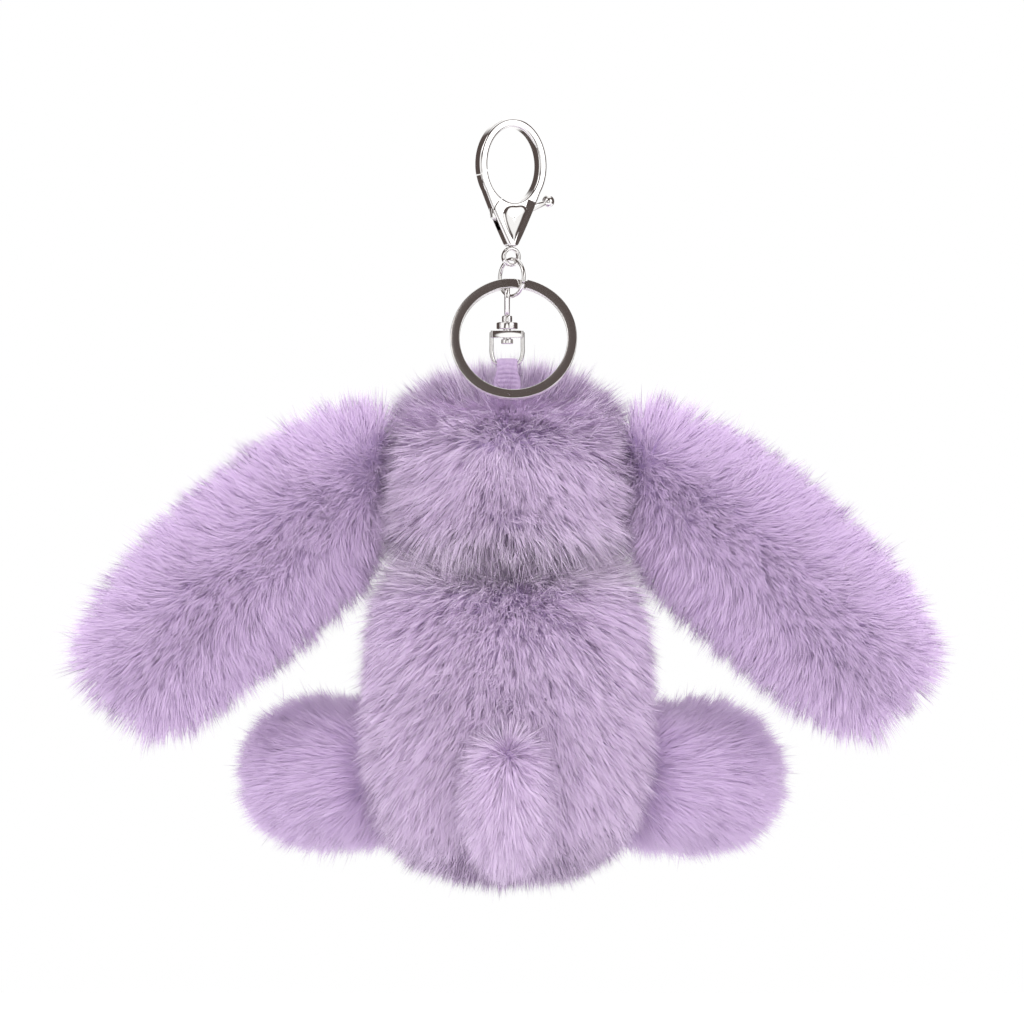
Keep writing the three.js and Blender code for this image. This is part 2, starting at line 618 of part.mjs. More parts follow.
const mirrored = (rings) => rings.map((ring) => ring.map((p) => new THREE.Vector3(-p.x, p.y, p.z)));
const headMiddle = () => new THREE.Vector3(0, 0, 0);
const torsoFall = (z) => (TORSO.top - z) / (TORSO.top - TORSO.bottom);
const torsoMiddle = (z) => new THREE.Vector3(0, TORSO_SHIFT + TORSO_LEAN * torsoFall(z), 0);
const torsoShare = (z) => share((2 * z - TORSO.top - TORSO.bottom) / (TORSO.top - TORSO.bottom), TORSO.corner);

function earRings() {
  const curve = new THREE.QuadraticBezierCurve3(EAR_ROOT, EAR_BEND, EAR_TIP);
  return limb(curve, (u) => {
    const bulge = Math.sin(Math.PI * u);
    const blunt = u < 0.5 ? 0.5 : 0.62;
    return [EAR_HALF_WIDTH * bulge ** blunt, EAR_HALF_THICKNESS * bulge ** 0.8];
  }, 10, 14, new THREE.Vector3(1, 0, 0));
}

function armRings() {
  const direction = ARM_END.clone().sub(ARM_ROOT).normalize();
  const curve = new THREE.LineCurve3(
    ARM_ROOT.clone().addScaledVector(direction, -ARM_RADIUS),
    ARM_END.clone().addScaledVector(direction, ARM_RADIUS),
  );
  const half = curve.getLength() / 2;
  return limb(curve, (u) => {
    const fromMiddle = half * Math.abs(Math.cos(Math.PI * u));
    const intoCap = Math.max(0, fromMiddle - half + ARM_RADIUS);
    const girth = Math.sqrt(ARM_RADIUS ** 2 - intoCap ** 2);
    return [girth, girth];
  }, 8, 12);
}

const legOut = new THREE.Vector3(
  Math.cos(LEG_ANGLE) / TORSO.halfWidth, Math.sin(LEG_ANGLE) / TORSO.halfDepth, 0,
).normalize();
const legRoot = torsoMiddle(LEG_Z).add(new THREE.Vector3(
  TORSO.halfWidth * torsoShare(LEG_Z) * Math.cos(LEG_ANGLE),
  TORSO.halfDepth * torsoShare(LEG_Z) * Math.sin(LEG_ANGLE), LEG_Z,
)).addScaledVector(legOut, SEAM_GAP);

// The leg starts on a nearly flat seam and ends in a round foot.
function legRings() {
  const curve = new THREE.LineCurve3(legRoot, legRoot.clone().addScaledVector(legOut, LEG_LENGTH));
  return limb(curve, (u) => {
    const along = (LEG_LENGTH * (1 - Math.cos(Math.PI * u))) / 2;
    const seam = share(1 - Math.min(1, along / 8), 2.2) * (0.84 + 0.16 * Math.min(1, along / 24));
    const foot = share(Math.max(0, 1 - (LEG_LENGTH - along) / LEG_RADIUS), 2);
    const girth = LEG_RADIUS * Math.min(seam, foot);
    return [girth, girth];
  }, 10, 14);
}

const tailRoot = torsoMiddle(TAIL_Z).y - TORSO.halfDepth * torsoShare(TAIL_Z) - SEAM_GAP;

function tailRings() {
  const back = tailRoot - 2 * TAIL.halfDepth;
  const curve = new THREE.LineCurve3(
    new THREE.Vector3(0, tailRoot, TAIL_Z), new THREE.Vector3(0, back, TAIL_Z),
  );
  return Array.from({ length: 9 }, (_, i) => {
    const u = i / 8;
    const centre = curve.getPoint((1 - Math.cos(Math.PI * u)) / 2);
    const bulge = Math.sin(Math.PI * u);
    if (i === 0 || i === 8) {
      return [centre];
    }
    return Array.from({ length: 14 }, (__, k) => {
      const angle = (k / 14) * 2 * Math.PI;
      const offset = new THREE.Vector3(TAIL.halfWidth * Math.cos(angle), 0, TAIL.halfHeight * Math.sin(angle));
      return centre.clone().addScaledVector(offset, bulge);
    });
  });
}

// How far forward the head's surface lies at a place on its front.
function faceY(x, z) {
  const middle = (HEAD.top + HEAD.bottom) / 2;
  const size = share((z - middle) / ((HEAD.top - HEAD.bottom) / 2), HEAD.corner);
  return HEAD.halfDepth * size * Math.sqrt(1 - (x / (HEAD.halfWidth * size)) ** 2);
}

const headRings = stacked(HEAD, headMiddle, 10, 20);
const slotTool = new THREE.BoxGeometry(RIBBON_WIDTH + 2 * SOFT_GAP, 2 * (RIBBON_LAYER + SOFT_GAP), 30);
slotTool.translate(0, 0, RIBBON_BOTTOM_Z - SOFT_GAP + 15);
const eyeSides = [['left', -1], ['right', 1]];
const eyeY = faceY(EYE.x, EYE.z);
const eyeTools = eyeSides.map(([, side]) => cylinderAlongY(EYE.shank + 0.15, 20, side * EYE.x, eyeY - 6, EYE.z, 10));
const washerTools = eyeSides.map(([, side]) => (
  cylinderAlongY(WASHER.radius + SOFT_GAP, 8, side * EYE.x, eyeY - 3.8, EYE.z, 12)
));

function eyeButton(side) {
  const profile = [[0, 0], [EYE.radius, 0]];
  for (let i = 1; i < 6; i += 1) {
    const angle = (i * Math.PI) / 12;
    profile.push([EYE.radius * Math.cos(angle), EYE.height * Math.sin(angle)]);
  }
  profile.push([0, EYE.height]);
  const button = new THREE.LatheGeometry(profile.map(([r, h]) => new THREE.Vector2(r, h)), 16);
  button.translate(side * EYE.x, eyeY + 1.3, EYE.z);
  const shank = cylinderAlongY(EYE.shank, 8, side * EYE.x, eyeY - 2.6, EYE.z, 12);
  return joined(button, shank);
}

function eyeWasher(side) {
  const disc = cylinderAlongY(WASHER.radius, WASHER.thickness, side * EYE.x, eyeY - WASHER.depth, EYE.z, 14);
  return cut(disc, cylinderAlongY(EYE.shank + 0.1, 4, side * EYE.x, eyeY - WASHER.depth, EYE.z, 12));
}

function noseStitches() {
  const nose = new THREE.SphereGeometry(1, 14, 8);
  nose.scale(NOSE.halfWidth, NOSE.thickness, NOSE.halfHeight);
  nose.translate(0, faceY(0, NOSE.z) + NOSE.thickness + 0.3, NOSE.z);
  return nose;
}

add('head_cover', cut(coverOf(headRings), slotTool, ...eyeTools), lilacFur, rabbit);
add('head_stuffing', cut(stuffingOf(headRings), slotTool, ...washerTools), fibrefill, rabbit);
for (const [name, side] of eyeSides) {
  add(`eye_${name}`, eyeButton(side), blackPlastic, rabbit);
  add(`eye_washer_${name}`, eyeWasher(side), clearPlastic, rabbit);
}
add('nose_stitching', noseStitches(), pinkThread, rabbit);
const torsoRings = stacked(TORSO, torsoMiddle, 10, 20).reverse();
add('torso_cover', coverOf(torsoRings), lilacFur, rabbit);
add('torso_stuffing', stuffingOf(torsoRings), fibrefill, rabbit);
for (const [part, rings] of [['ear', earRings()], ['arm', armRings()], ['leg', legRings()]]) {
  for (const [name, side] of [['left', -1], ['right', 1]]) {
    const form = side < 0 ? mirrored(rings) : rings;
    add(`${part}_${name}_cover`, coverOf(form), lilacFur, rabbit);
    add(`${part}_${name}_stuffing`, stuffingOf(form), fibrefill, rabbit);
  }
}
add('tail_cover', coverOf(tailRings()), paleFur, rabbit);
add('tail_stuffing', stuffingOf(tailRings()), fibrefill, rabbit);

export default group;
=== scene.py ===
"""The looks of the plush rabbit keychain, built round its CAD frame. Lengths below are millimetres."""
import math
from collections import namedtuple

import bmesh
import bpy
import numpy as np
from mathutils import Matrix, Vector
from mathutils.kdtree import KDTree


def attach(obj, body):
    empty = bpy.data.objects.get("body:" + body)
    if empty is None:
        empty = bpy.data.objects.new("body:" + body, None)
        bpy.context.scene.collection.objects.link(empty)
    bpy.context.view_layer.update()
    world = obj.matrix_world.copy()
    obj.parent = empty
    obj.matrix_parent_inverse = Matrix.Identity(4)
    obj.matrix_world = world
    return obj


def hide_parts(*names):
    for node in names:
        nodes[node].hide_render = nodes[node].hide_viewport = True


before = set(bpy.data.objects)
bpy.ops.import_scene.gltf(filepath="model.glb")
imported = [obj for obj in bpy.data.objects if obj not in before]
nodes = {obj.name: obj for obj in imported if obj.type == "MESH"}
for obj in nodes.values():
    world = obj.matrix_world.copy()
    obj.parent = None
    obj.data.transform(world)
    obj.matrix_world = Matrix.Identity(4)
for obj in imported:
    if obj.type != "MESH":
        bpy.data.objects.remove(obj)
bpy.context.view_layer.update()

MM = 0.001

Block = namedtuple("Block", "half_width half_depth top bottom corner")
Disc = namedtuple("Disc", "radius top bottom")

# ---- places shared with the CAD part ----

AXIS = np.array([-0.925, 1.341, 0.0])  # the vertical line that the swivel and the rabbit hang on
CLASP_YAW = math.radians(25)
CLASP_THICKNESS = 3.4
BAND_WIDTH = 2.1
OPENING_HALF_WIDTH = 6.7
OPENING_HALF_HEIGHT = 8.9
BODY_TIP_Z = -28.3
BODY_TIP_HALF_WIDTH = 1.1
FLANK_ANGLE = math.radians(35)
FACET_SLOPE = math.radians(16)
FACET_TOP = (3.7, 0.0, -17.0)
FACET_FOOT = (0.15, 0.0, -28.1)
GATE_PIVOT = (-0.3, -21.4)
GATE_HUB_RADIUS = 1.9
GATE_CHEEK_RADIUS = 5.0
GATE_SWEEP = 13.0
GATE_TRAVEL = math.radians(30)
GATE_NOSE_Z = -10.8
NOSE_GAP = 0.35
RUN_GAP = 0.25
THUMB_BALL = (9.8, -17.2)
THUMB_BALL_RADIUS = 1.5
SLOT_HALF = 0.95
BLADE_HALF = 0.72
PIN_RADIUS = 0.6
CLASP_EYE_Z = -30.7
CLASP_EYE_RADIUS = 1.95
CLASP_EYE_SECTION = (0.5, 0.85)
JUMP_RADIUS = 4.4
JUMP_WIRE = 0.47
JUMP_TURN = math.radians(40)
JUMP_CENTRE = np.array([0.2, 0.0, -35.65])
RING_REACH = 1.55
KEY_RING_OUTER = 15.0
KEY_RING_WIDTH = 2.3
KEY_RING_LAYER = 0.8
KEY_RING_LAYER_GAP = 0.12
KEY_RING_STEP = math.radians(13)
KEY_RING_LEAN = math.radians(16)
KEY_RING_TOP_Z = -36.0
LOOP_WIRE = (0.68, 0.58)
LOOP_HALF_WIDTH = 2.7
LOOP_TOP_Z = -36.95
LOOP_BOTTOM_Z = -45.2
FLANGE = Disc(2.6, -46.2, -47.9)
POST_RADIUS = 0.9
BRIDGE = Block(3.9, 1.4, -48.2, -49.9, 0.35)
BRIDGE_BORE = 1.2
RIVET = Disc(1.45, -50.15, -51.4)
BOW_WIRE = 0.5
BOW_HALF_WIDTH = 3.7
BOW_SHOULDER_Z = -53.4
BOW_BAR_Z = -56.0
BOW_BAR_HALF = 3.0
RIBBON_WIDTH = 6.5
RIBBON_NECK = 4.9
RIBBON_LAYER = 0.45
RIBBON_BOTTOM_Z = -74.0
HEAD = Block(26.5, 24.0, -65.8, -102.2, 2.5)
TORSO = Block(32.0, 24.5, -104.4, -176.0, 2.6)
TORSO_SHIFT = -6.2
TORSO_LEAN = -3.5
EAR_ROOT = np.array([27.4, 1.5, -80.0])
EAR_BEND = np.array([60.0, 1.5, -105.5])
EAR_TIP = np.array([98.4, 1.5, -131.5])
EAR_HALF_WIDTH = 19.0
EAR_HALF_THICKNESS = 8.0
EAR_TURN = 0.3
ARM_ROOT = np.array([22.5, 15.7, -113.0])
ARM_END = np.array([27.5, 22.2, -131.0])
ARM_RADIUS = 7.8
LEG_Z = -154.4
LEG_ANGLE = math.radians(35)
LEG_LENGTH = 47.0
LEG_RADIUS = 16.2
TAIL_Z = -158.5
TAIL_HALF_WIDTH = 9.5
TAIL_HALF_DEPTH = 9.0
TAIL_HALF_HEIGHT = 15.2
SEAM_GAP = 0.8
BUTTON_X = 11.0
BUTTON_Z = -79.0
BUTTON_RADIUS = 3.1
BUTTON_HEIGHT = 2.0
SHANK_RADIUS = 0.9
NOSE_Z = -86.0
NOSE_HALF_SIZE = (2.8, 1.0, 1.8)

# ---- fur, which the CAD part doesn't have ----

SKIN_DEPTH = 4.6  # the cloth lies this far below the CAD outline, which is half-way up the pile
STRAND_WIDTH = 0.12
STRAND_STEPS = np.array([0.0, 0.38, 0.74, 1.0])  # where a strand bends, as shares of its length
STEP_WIDTHS = np.array([0.9, 1.0, 0.7])  # how wide it is at each step but its pointed tip
STRANDS_A_PIECE = 39000
THINNING = 1.0


def unit(v):
    v = np.asarray(v, float)
    return v / np.maximum(np.linalg.norm(v, axis=-1, keepdims=True), 1e-9)


def full_turn(sides):
    """Angles evenly round a circle."""
    return np.linspace(0, math.tau, sides, endpoint=False)


def placed(name, data):
    """An object in the scene, made from its data."""
    made = bpy.data.objects.new(name, data)
    bpy.context.scene.collection.objects.link(made)
    return made


# ---- materials ----

def material(name, colour, roughness, **sockets):
    """A Principled material whose uniform numbers sit on the shader's own sockets."""
    made = bpy.data.materials.new(name)
    made.use_nodes = True
    shader = made.node_tree.nodes["Principled BSDF"]
    shader.inputs["Base Color"].default_value = (*colour, 1.0)
    shader.inputs["Roughness"].default_value = roughness
    for socket, value in sockets.items():
        shader.inputs[socket.replace("_", " ")].default_value = value
    return made


def noise_on(made, scale, detail):
    """A noise fixed to the piece, with the material's nodes and shader. scale is in blotches a metre."""
    tree = made.node_tree
    coords = tree.nodes.new("ShaderNodeTexCoord")
    noise = tree.nodes.new("ShaderNodeTexNoise")
    noise.inputs["Scale"].default_value = scale
    noise.inputs["Detail"].default_value = detail
    tree.links.new(coords.outputs["Object"], noise.inputs["Vector"])
    return tree, tree.nodes["Principled BSDF"], noise


def mottle(made, low, high, scale):
    """Varies the base colour between two tones."""
    tree, shader, noise = noise_on(made, scale, 3.0)
    ramp = tree.nodes.new("ShaderNodeValToRGB")
    for stop, place, tone in zip(ramp.color_ramp.elements, (0.35, 0.65), (low, high)):
        stop.position = place
        stop.color = (*tone, 1.0)
    tree.links.new(noise.outputs["Fac"], ramp.inputs["Fac"])
    tree.links.new(ramp.outputs["Color"], shader.inputs["Base Color"])
    return made


def micro_bump(made, scale, strength, distance=0.0001):
    """A fine bump, such as polishing marks or yarn. distance is in metres."""
    tree, shader, noise = noise_on(made, scale, 2.0)
    bump = tree.nodes.new("ShaderNodeBump")
    bump.inputs["Strength"].default_value = strength
    bump.inputs["Distance"].default_value = distance
    tree.links.new(noise.outputs["Fac"], bump.inputs["Height"])
    tree.links.new(bump.outputs["Normal"], shader.inputs["Normal"])
    return made


nickel = micro_bump(material("nickel", (0.86, 0.845, 0.83), 0.07, Metallic=1.0), 260, 0.12, 0.0002)
nickel_flat = micro_bump(material("nickel_flat", (0.72, 0.69, 0.67), 0.16, Metallic=1.0), 900, 0.1)
spring_steel = micro_bump(material("spring_steel", (0.5, 0.5, 0.5), 0.25, Metallic=1.0), 900, 0.1)
black_plastic = micro_bump(
    material("black_plastic", (0.008, 0.007, 0.009), 0.06, Coat_Weight=0.6), 500, 0.05)
washer_plastic = micro_bump(material("washer_plastic", (0.72, 0.72, 0.7), 0.4), 700, 0.2)
pink_thread = mottle(material("pink_thread", (0.68, 0.27, 0.38), 0.6, Sheen_Weight=0.3),
                     (0.6, 0.2, 0.32), (0.74, 0.32, 0.44), 900)
grosgrain = mottle(material("grosgrain", (0.54, 0.386, 0.617), 0.55, Sheen_Weight=0.25),
                   (0.42, 0.31, 0.49), (0.5, 0.375, 0.56), 1500)
backing = mottle(material("fur_backing", (0.64, 0.48, 0.77), 0.9), (0.6, 0.44, 0.74), (0.68, 0.52, 0.8), 300)

FUR_TONES = [
    (0.66, 0.48, 0.77), (0.70, 0.525, 0.795), (0.74, 0.57, 0.825), (0.77, 0.61, 0.84),
    (0.80, 0.655, 0.865), (0.835, 0.71, 0.885), (0.87, 0.765, 0.90),
]
fur = [
    material(f"fur_{i}", tone, 0.62, Sheen_Weight=0.25, Sheen_Roughness=0.5)
    for i, tone in enumerate(FUR_TONES)
]

# ---- mesh helpers ----

def mesh_object(name, points, faces, materials):
    """A smooth-shaded mesh; points are in millimetres."""
    mesh = bpy.data.meshes.new(name)
    mesh.from_pydata((np.asarray(points, float) * MM).tolist(), [], faces)
    mesh.polygons.foreach_set("use_smooth", np.ones(len(mesh.polygons), bool))
    for made in materials:
        mesh.materials.append(made)
    mesh.update()
    return placed(name, mesh)


def band_faces(sizes, closed=False):
    """Faces between rows of points, where sizes counts each row's points and a row of one is a tip."""
    first = np.cumsum([0, *sizes]).tolist()
    faces = []
    for i in range(len(sizes) if closed else len(sizes) - 1):
        j = (i + 1) % len(sizes)
        low, high = sizes[i], sizes[j]
        for k in range(max(low, high)):
            after = (k + 1) % max(low, high)
            corners = (first[i] + k % low, first[i] + after % low,
                       first[j] + after % high, first[j] + k % high)
            faces.append(tuple(dict.fromkeys(corners)))
    return faces


def outward(piece):
    """Makes a closed piece's faces look outwards."""
    work = bmesh.new()
    work.from_mesh(piece.data)
    bmesh.ops.recalc_face_normals(work, faces=work.faces)
    work.to_mesh(piece.data)
    work.free()
    return piece


def sweep(name, centres, across, along, section, closed=False, materials=(nickel,)):
    """A section, (across, along) pairs, carried along a line of points. Open ends are capped."""
    centres, across, along = (np.asarray(v, float) for v in (centres, across, along))
    section = np.asarray(section, float)
    points = centres[:, None] + section[:, :1] * across[:, None] + section[:, 1:] * along[:, None]
    count, sides = points.shape[:2]
    faces = band_faces([sides] * count, closed)
    if not closed:
        faces.append(tuple(range(sides)))
        faces.append(tuple(range((count - 1) * sides, count * sides))[::-1])
    return outward(mesh_object(name, points.reshape(-1, 3), faces, materials))


def round_section(a, b, sides=20):
    angle = full_turn(sides)
    return np.stack([a * np.cos(angle), b * np.sin(angle)], -1)


def lathe(name, profile, centre=(0, 0, 0), direction="Z", sides=48, materials=(nickel,)):
    """A profile of (radius, height) pairs turned round an axis; it starts and ends on the axis."""
    angle = full_turn(sides)
    circle = np.stack([np.cos(angle), np.sin(angle), np.zeros(sides)], -1)
    rows = []
    for radius, height in profile:
        row = circle if radius > 1e-6 else circle[:1]
        rows.append(row * radius + (0, 0, height))
    points = np.vstack(rows)
    if direction == "Y":
        points = points[:, [0, 2, 1]]
    return outward(mesh_object(name, points + centre, band_faces([len(row) for row in rows]), materials))


def rounded(radius, low, high, edge, steps=5):
    """A lathe profile for a cylinder whose edges are rounded."""
    turn = [math.pi / 2 * i / steps for i in range(steps + 1)]
    foot = [(radius - edge + edge * math.sin(a), low + edge - edge * math.cos(a)) for a in turn]
    crown = [(radius - edge + edge * math.cos(a), high - edge + edge * math.sin(a)) for a in turn]
    return [(0, low), *foot, *crown, (0, high)]


def smooth_curve(points, count, closed=False):
    """A Catmull-Rom curve through the points, spaced evenly along its length."""
    points = np.asarray(points, float)
    if closed:
        ends = np.vstack([points[-1], points, points[0], points[1]])
    else:
        ends = np.vstack([2 * points[0] - points[1], points, 2 * points[-1] - points[-2]])
    t = np.linspace(0, 1, 24, endpoint=False)[:, None]
    parts = []
    for a, b, c, d in zip(ends, ends[1:], ends[2:], ends[3:]):
        parts.append(0.5 * (2 * b + (c - a) * t + (2 * a - 5 * b + 4 * c - d) * t**2
                            + (3 * b - a - 3 * c + d) * t**3))
    line = np.vstack(parts + [points[:1] if closed else points[-1:]])
    length = np.concatenate([[0], np.cumsum(np.linalg.norm(np.diff(line, axis=0), axis=1))])
    at = np.linspace(0, length[-1], count, endpoint=not closed)
    return np.stack([np.interp(at, length, line[:, i]) for i in range(3)], -1)


def tangents(line, closed=False):
    if closed:
        return unit(np.roll(line, -1, 0) - np.roll(line, 1, 0))
    return unit(np.gradient(line, axis=0))


def join(name, pieces):
    """One object from several, which may overlap."""
    with bpy.context.temp_override(active_object=pieces[0], selected_editable_objects=pieces):
        bpy.ops.object.join()
    pieces[0].name = name
    return pieces[0]


def applied(piece):
    """Replaces the piece's mesh by the one its modifiers make."""
    bpy.context.view_layer.update()
    made = bpy.data.meshes.new_from_object(piece.evaluated_get(bpy.context.evaluated_depsgraph_get()))
    piece.modifiers.clear()
    piece.data = made
    return piece


def bevelled(piece, width, segments):
    """Rounds every edge that turns by more than 32 degrees."""
    bevel = piece.modifiers.new("bevel", "BEVEL")
    bevel.width = width * MM
    bevel.segments = segments
    bevel.limit_method = "ANGLE"
    bevel.angle_limit = math.radians(32)
    bevel.harden_normals = True
    bevel.use_clamp_overlap = False
    applied(piece)
    piece.data.set_sharp_from_angle(angle=math.radians(50))
    return piece


def crisp(piece):
    """Flat faces shade flat beside rounded edges."""
    piece.data.set_sharp_from_angle(angle=math.radians(14))
    flatten = piece.modifiers.new("flatten", "WEIGHTED_NORMAL")
    flatten.keep_sharp = True
    applied(piece)


def boolean(piece, operation, tool):
    """Cuts the piece by the tool, which is used up."""
    cut = piece.modifiers.new("cut", "BOOLEAN")
    cut.operation = operation
    cut.solver = "EXACT"
    cut.object = tool
    applied(piece)
    bpy.data.objects.remove(tool)


def subtract(piece, *tools):
    for tool in tools:
        boolean(piece, "DIFFERENCE", tool)
    return piece


def prism(name, outline, thickness, y=0.0):
    """A flat outline of (x, z) pairs, with a thickness along Y centred on y."""
    outline = np.asarray(outline, float)
    count = len(outline)
    front = np.stack([outline[:, 0], np.full(count, y - thickness / 2), outline[:, 1]], -1)
    points = np.vstack([front, front + (0, thickness, 0)])
    faces = [tuple(range(count)), tuple(range(count, 2 * count))[::-1]]
    faces += [(i, (i + 1) % count, (i + 1) % count + count, i + count) for i in range(count)]
    return outward(mesh_object(name, points, faces, [nickel]))


def arc(centre, radius, start, end, count):
    angle = np.linspace(start, end, count)
    rx, rz = radius if isinstance(radius, tuple) else (radius, radius)
    return np.stack([centre[0] + rx * np.cos(angle), centre[1] + rz * np.sin(angle)], -1)


def quadratic(a, b, c, count):
    t = np.linspace(0, 1, count)[:, None]
    a, b, c = (np.asarray(v, float) for v in (a, b, c))
    return (1 - t) ** 2 * a + 2 * t * (1 - t) * b + t**2 * c


def slice_tool(radius, start, end, thickness, count=24):
    """A slice of a disc round the gate's pivot."""
    outline = np.vstack([[GATE_PIVOT], arc(GATE_PIVOT, radius, start, end, count)])
    return prism("tool", outline, thickness)


def disc_tool(radius, thickness):
    return prism("tool", arc(GATE_PIVOT, radius, 0, math.tau, 65)[:-1], thickness)


def turned(piece, yaw):
    piece.data.transform(Matrix.Rotation(yaw, 4, "Z"))
    return piece


def moved(piece, offset):
    piece.data.transform(Matrix.Translation(Vector(np.asarray(offset, float) * MM)))
    return piece


def rides(piece, body, slot, *replaced):
    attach(piece, body)
    if replaced:
        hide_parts(*replaced)
    return piece


# ---- clasp ----

outer_size = (OPENING_HALF_WIDTH + BAND_WIDTH, OPENING_HALF_HEIGHT + BAND_WIDTH)
opening_centre = (0.0, -OPENING_HALF_HEIGHT)
thumb_angle = math.atan2(THUMB_BALL[1] - GATE_PIVOT[1], THUMB_BALL[0] - GATE_PIVOT[0])
gate_from, gate_to = math.radians(112), math.radians(183)


def clasp_outline():
    flank = (outer_size[0] * math.cos(FLANK_ANGLE),
             -OPENING_HALF_HEIGHT - outer_size[1] * math.sin(FLANK_ANGLE))
    hook = arc(opening_centre, outer_size, -FLANK_ANGLE, math.pi + FLANK_ANGLE, 110)
    left = quadratic((-flank[0], flank[1]), (-4.6, -21.6), (-BODY_TIP_HALF_WIDTH, BODY_TIP_Z), 24)
    right = quadratic((BODY_TIP_HALF_WIDTH, BODY_TIP_Z), (4.6, -21.6), flank, 24)
    return np.vstack([hook, left[1:], right[:-1]])


def opening_tool():
    size = (OPENING_HALF_WIDTH, OPENING_HALF_HEIGHT)
    return prism("tool", arc(opening_centre, size, 0, math.tau, 129)[:-1], 9)


def crowned_panels(outline, base, rise, rings=7):
    """A raised panel on each face of the clasp, domed towards its middle."""
    outline = np.asarray(outline, float)
    middle = outline.mean(0)
    pieces = []
    for side in (-1, 1):
        points = []
        for i in range(rings):
            t = i / (rings - 1)
            size = math.cos(t * math.pi / 2 * 0.94)
            height = base + rise * math.sin(t * math.pi / 2)
            xz = middle + (outline - middle) * size
            points.append(np.stack([xz[:, 0], np.full(len(xz), side * height), xz[:, 1]], -1))
        count = len(outline)
        faces = band_faces([count] * rings)
        faces.append(tuple(range((rings - 1) * count, rings * count)))
        faces.append(tuple(range(count))[::-1])
        pieces.append(outward(mesh_object("panel", np.vstack(points), faces, [nickel])))
    return pieces


def facet_tool(side):
    """Slopes the right flank of one face, from beside the raised panel down to the edge."""
    high, low = Vector(FACET_TOP), Vector(FACET_FOOT)
    outline = [(high.x, high.z), (high.x + 9, high.z - 3), (low.x + 9, low.z - 3), (low.x, low.z)]
    tool = prism("tool", outline, 6, side * 3)
    slope = Matrix.Rotation(-side * FACET_SLOPE, 4, high - low)
    hinge = Vector((high.x, side * CLASP_THICKNESS / 2, high.z))
    tool.data.transform(Matrix.Translation(hinge * MM) @ slope @ Matrix.Translation(-high * MM))
    return tool


def clasp_body():
    body = subtract(prism("clasp", clasp_outline(), CLASP_THICKNESS), opening_tool())
    bevelled(body, 0.65, 8)
    room = slice_tool(GATE_SWEEP, gate_from, gate_to, 9, 40)
    subtract(room, disc_tool(GATE_CHEEK_RADIUS, 12))
    subtract(room, prism("tool", [(-12, GATE_NOSE_Z), (-4, GATE_NOSE_Z + 1.2), (-4, 3), (-12, 3)], 12))
    subtract(body, room)
    subtract(
        body,
        facet_tool(-1),
        facet_tool(1),
        disc_tool(GATE_HUB_RADIUS + 2.2, 2 * SLOT_HALF),
        slice_tool(GATE_CHEEK_RADIUS + 1, gate_from - GATE_TRAVEL, gate_to + 0.5, 2 * SLOT_HALF),
        slice_tool(14, thumb_angle - GATE_TRAVEL - 0.24, thumb_angle + 0.24, 2 * SLOT_HALF),
    )
    crisp(body)
    panel = np.vstack([
        quadratic((0, BODY_TIP_Z + 0.5), (-3.2, -23), (-3.1, -20.4), 14)[:-1],
        quadratic((-3.1, -20.4), (-2.4, -18.1), (0.6, -18.4), 14)[:-1],
        quadratic((0.6, -18.4), (3.4, -17.8), (3.6, -19.6), 10)[:-1],
        quadratic((3.6, -19.6), (2.1, -23.4), (0, BODY_TIP_Z + 0.5), 14)[:-1],
    ])
    panels = crowned_panels(panel, CLASP_THICKNESS / 2 - 0.25, 0.7)
    angle = full_turn(48)
    rim = np.stack([np.cos(angle), np.zeros(48), np.sin(angle)], -1)
    eye = sweep("eye", rim * CLASP_EYE_RADIUS + (0, 0, CLASP_EYE_Z), rim, np.tile((0.0, 1.0, 0.0), (48, 1)),
                round_section(*CLASP_EYE_SECTION), closed=True)
    return join("clasp", [body, *panels, eye])


def clasp_gate():
    band = subtract(prism("gate", clasp_outline(), CLASP_THICKNESS - 0.4), opening_tool())
    bevelled(band, 0.55, 8)
    boolean(band, "INTERSECT", slice_tool(GATE_SWEEP - RUN_GAP, gate_from + 0.03, gate_to - 0.06, 8, 40))
    nose_z = GATE_NOSE_Z - NOSE_GAP
    subtract(band, prism("tool", [(-12, nose_z), (-3, nose_z + 0.6), (-3, 3), (-12, 3)], 9),
             disc_tool(GATE_CHEEK_RADIUS + RUN_GAP, 9))
    crisp(band)
    side = np.array([-math.sin(thumb_angle), math.cos(thumb_angle)]) * 0.7
    pivot, ball = np.array(GATE_PIVOT), np.array(THUMB_BALL)
    web = prism("web", [pivot + (0, 0.3 - GATE_HUB_RADIUS), pivot + (-4.9, -0.2), pivot + (-5.2, 2.6),
                        pivot + (-3.6, 4.2), pivot + (0, GATE_HUB_RADIUS - 0.3)], 2 * BLADE_HALF)
    lever = prism("lever", [pivot + side * 1.6, ball + side * 0.85, ball - side * 0.85, pivot - side * 1.6],
                  2 * BLADE_HALF)
    hub = lathe("hub", rounded(GATE_HUB_RADIUS, -BLADE_HALF, BLADE_HALF, 0.2), (pivot[0], 0, pivot[1]), "Y")
    polar = np.linspace(-math.pi / 2, math.pi / 2, 18)
    half_circle = THUMB_BALL_RADIUS * np.stack([np.cos(polar), np.sin(polar)], -1)
    knob = lathe("knob", half_circle, (ball[0], 0, ball[1]), "Y", 32)
    return join("gate", [band, bevelled(web, 0.15, 2), bevelled(lever, 0.25, 3), hub, knob])


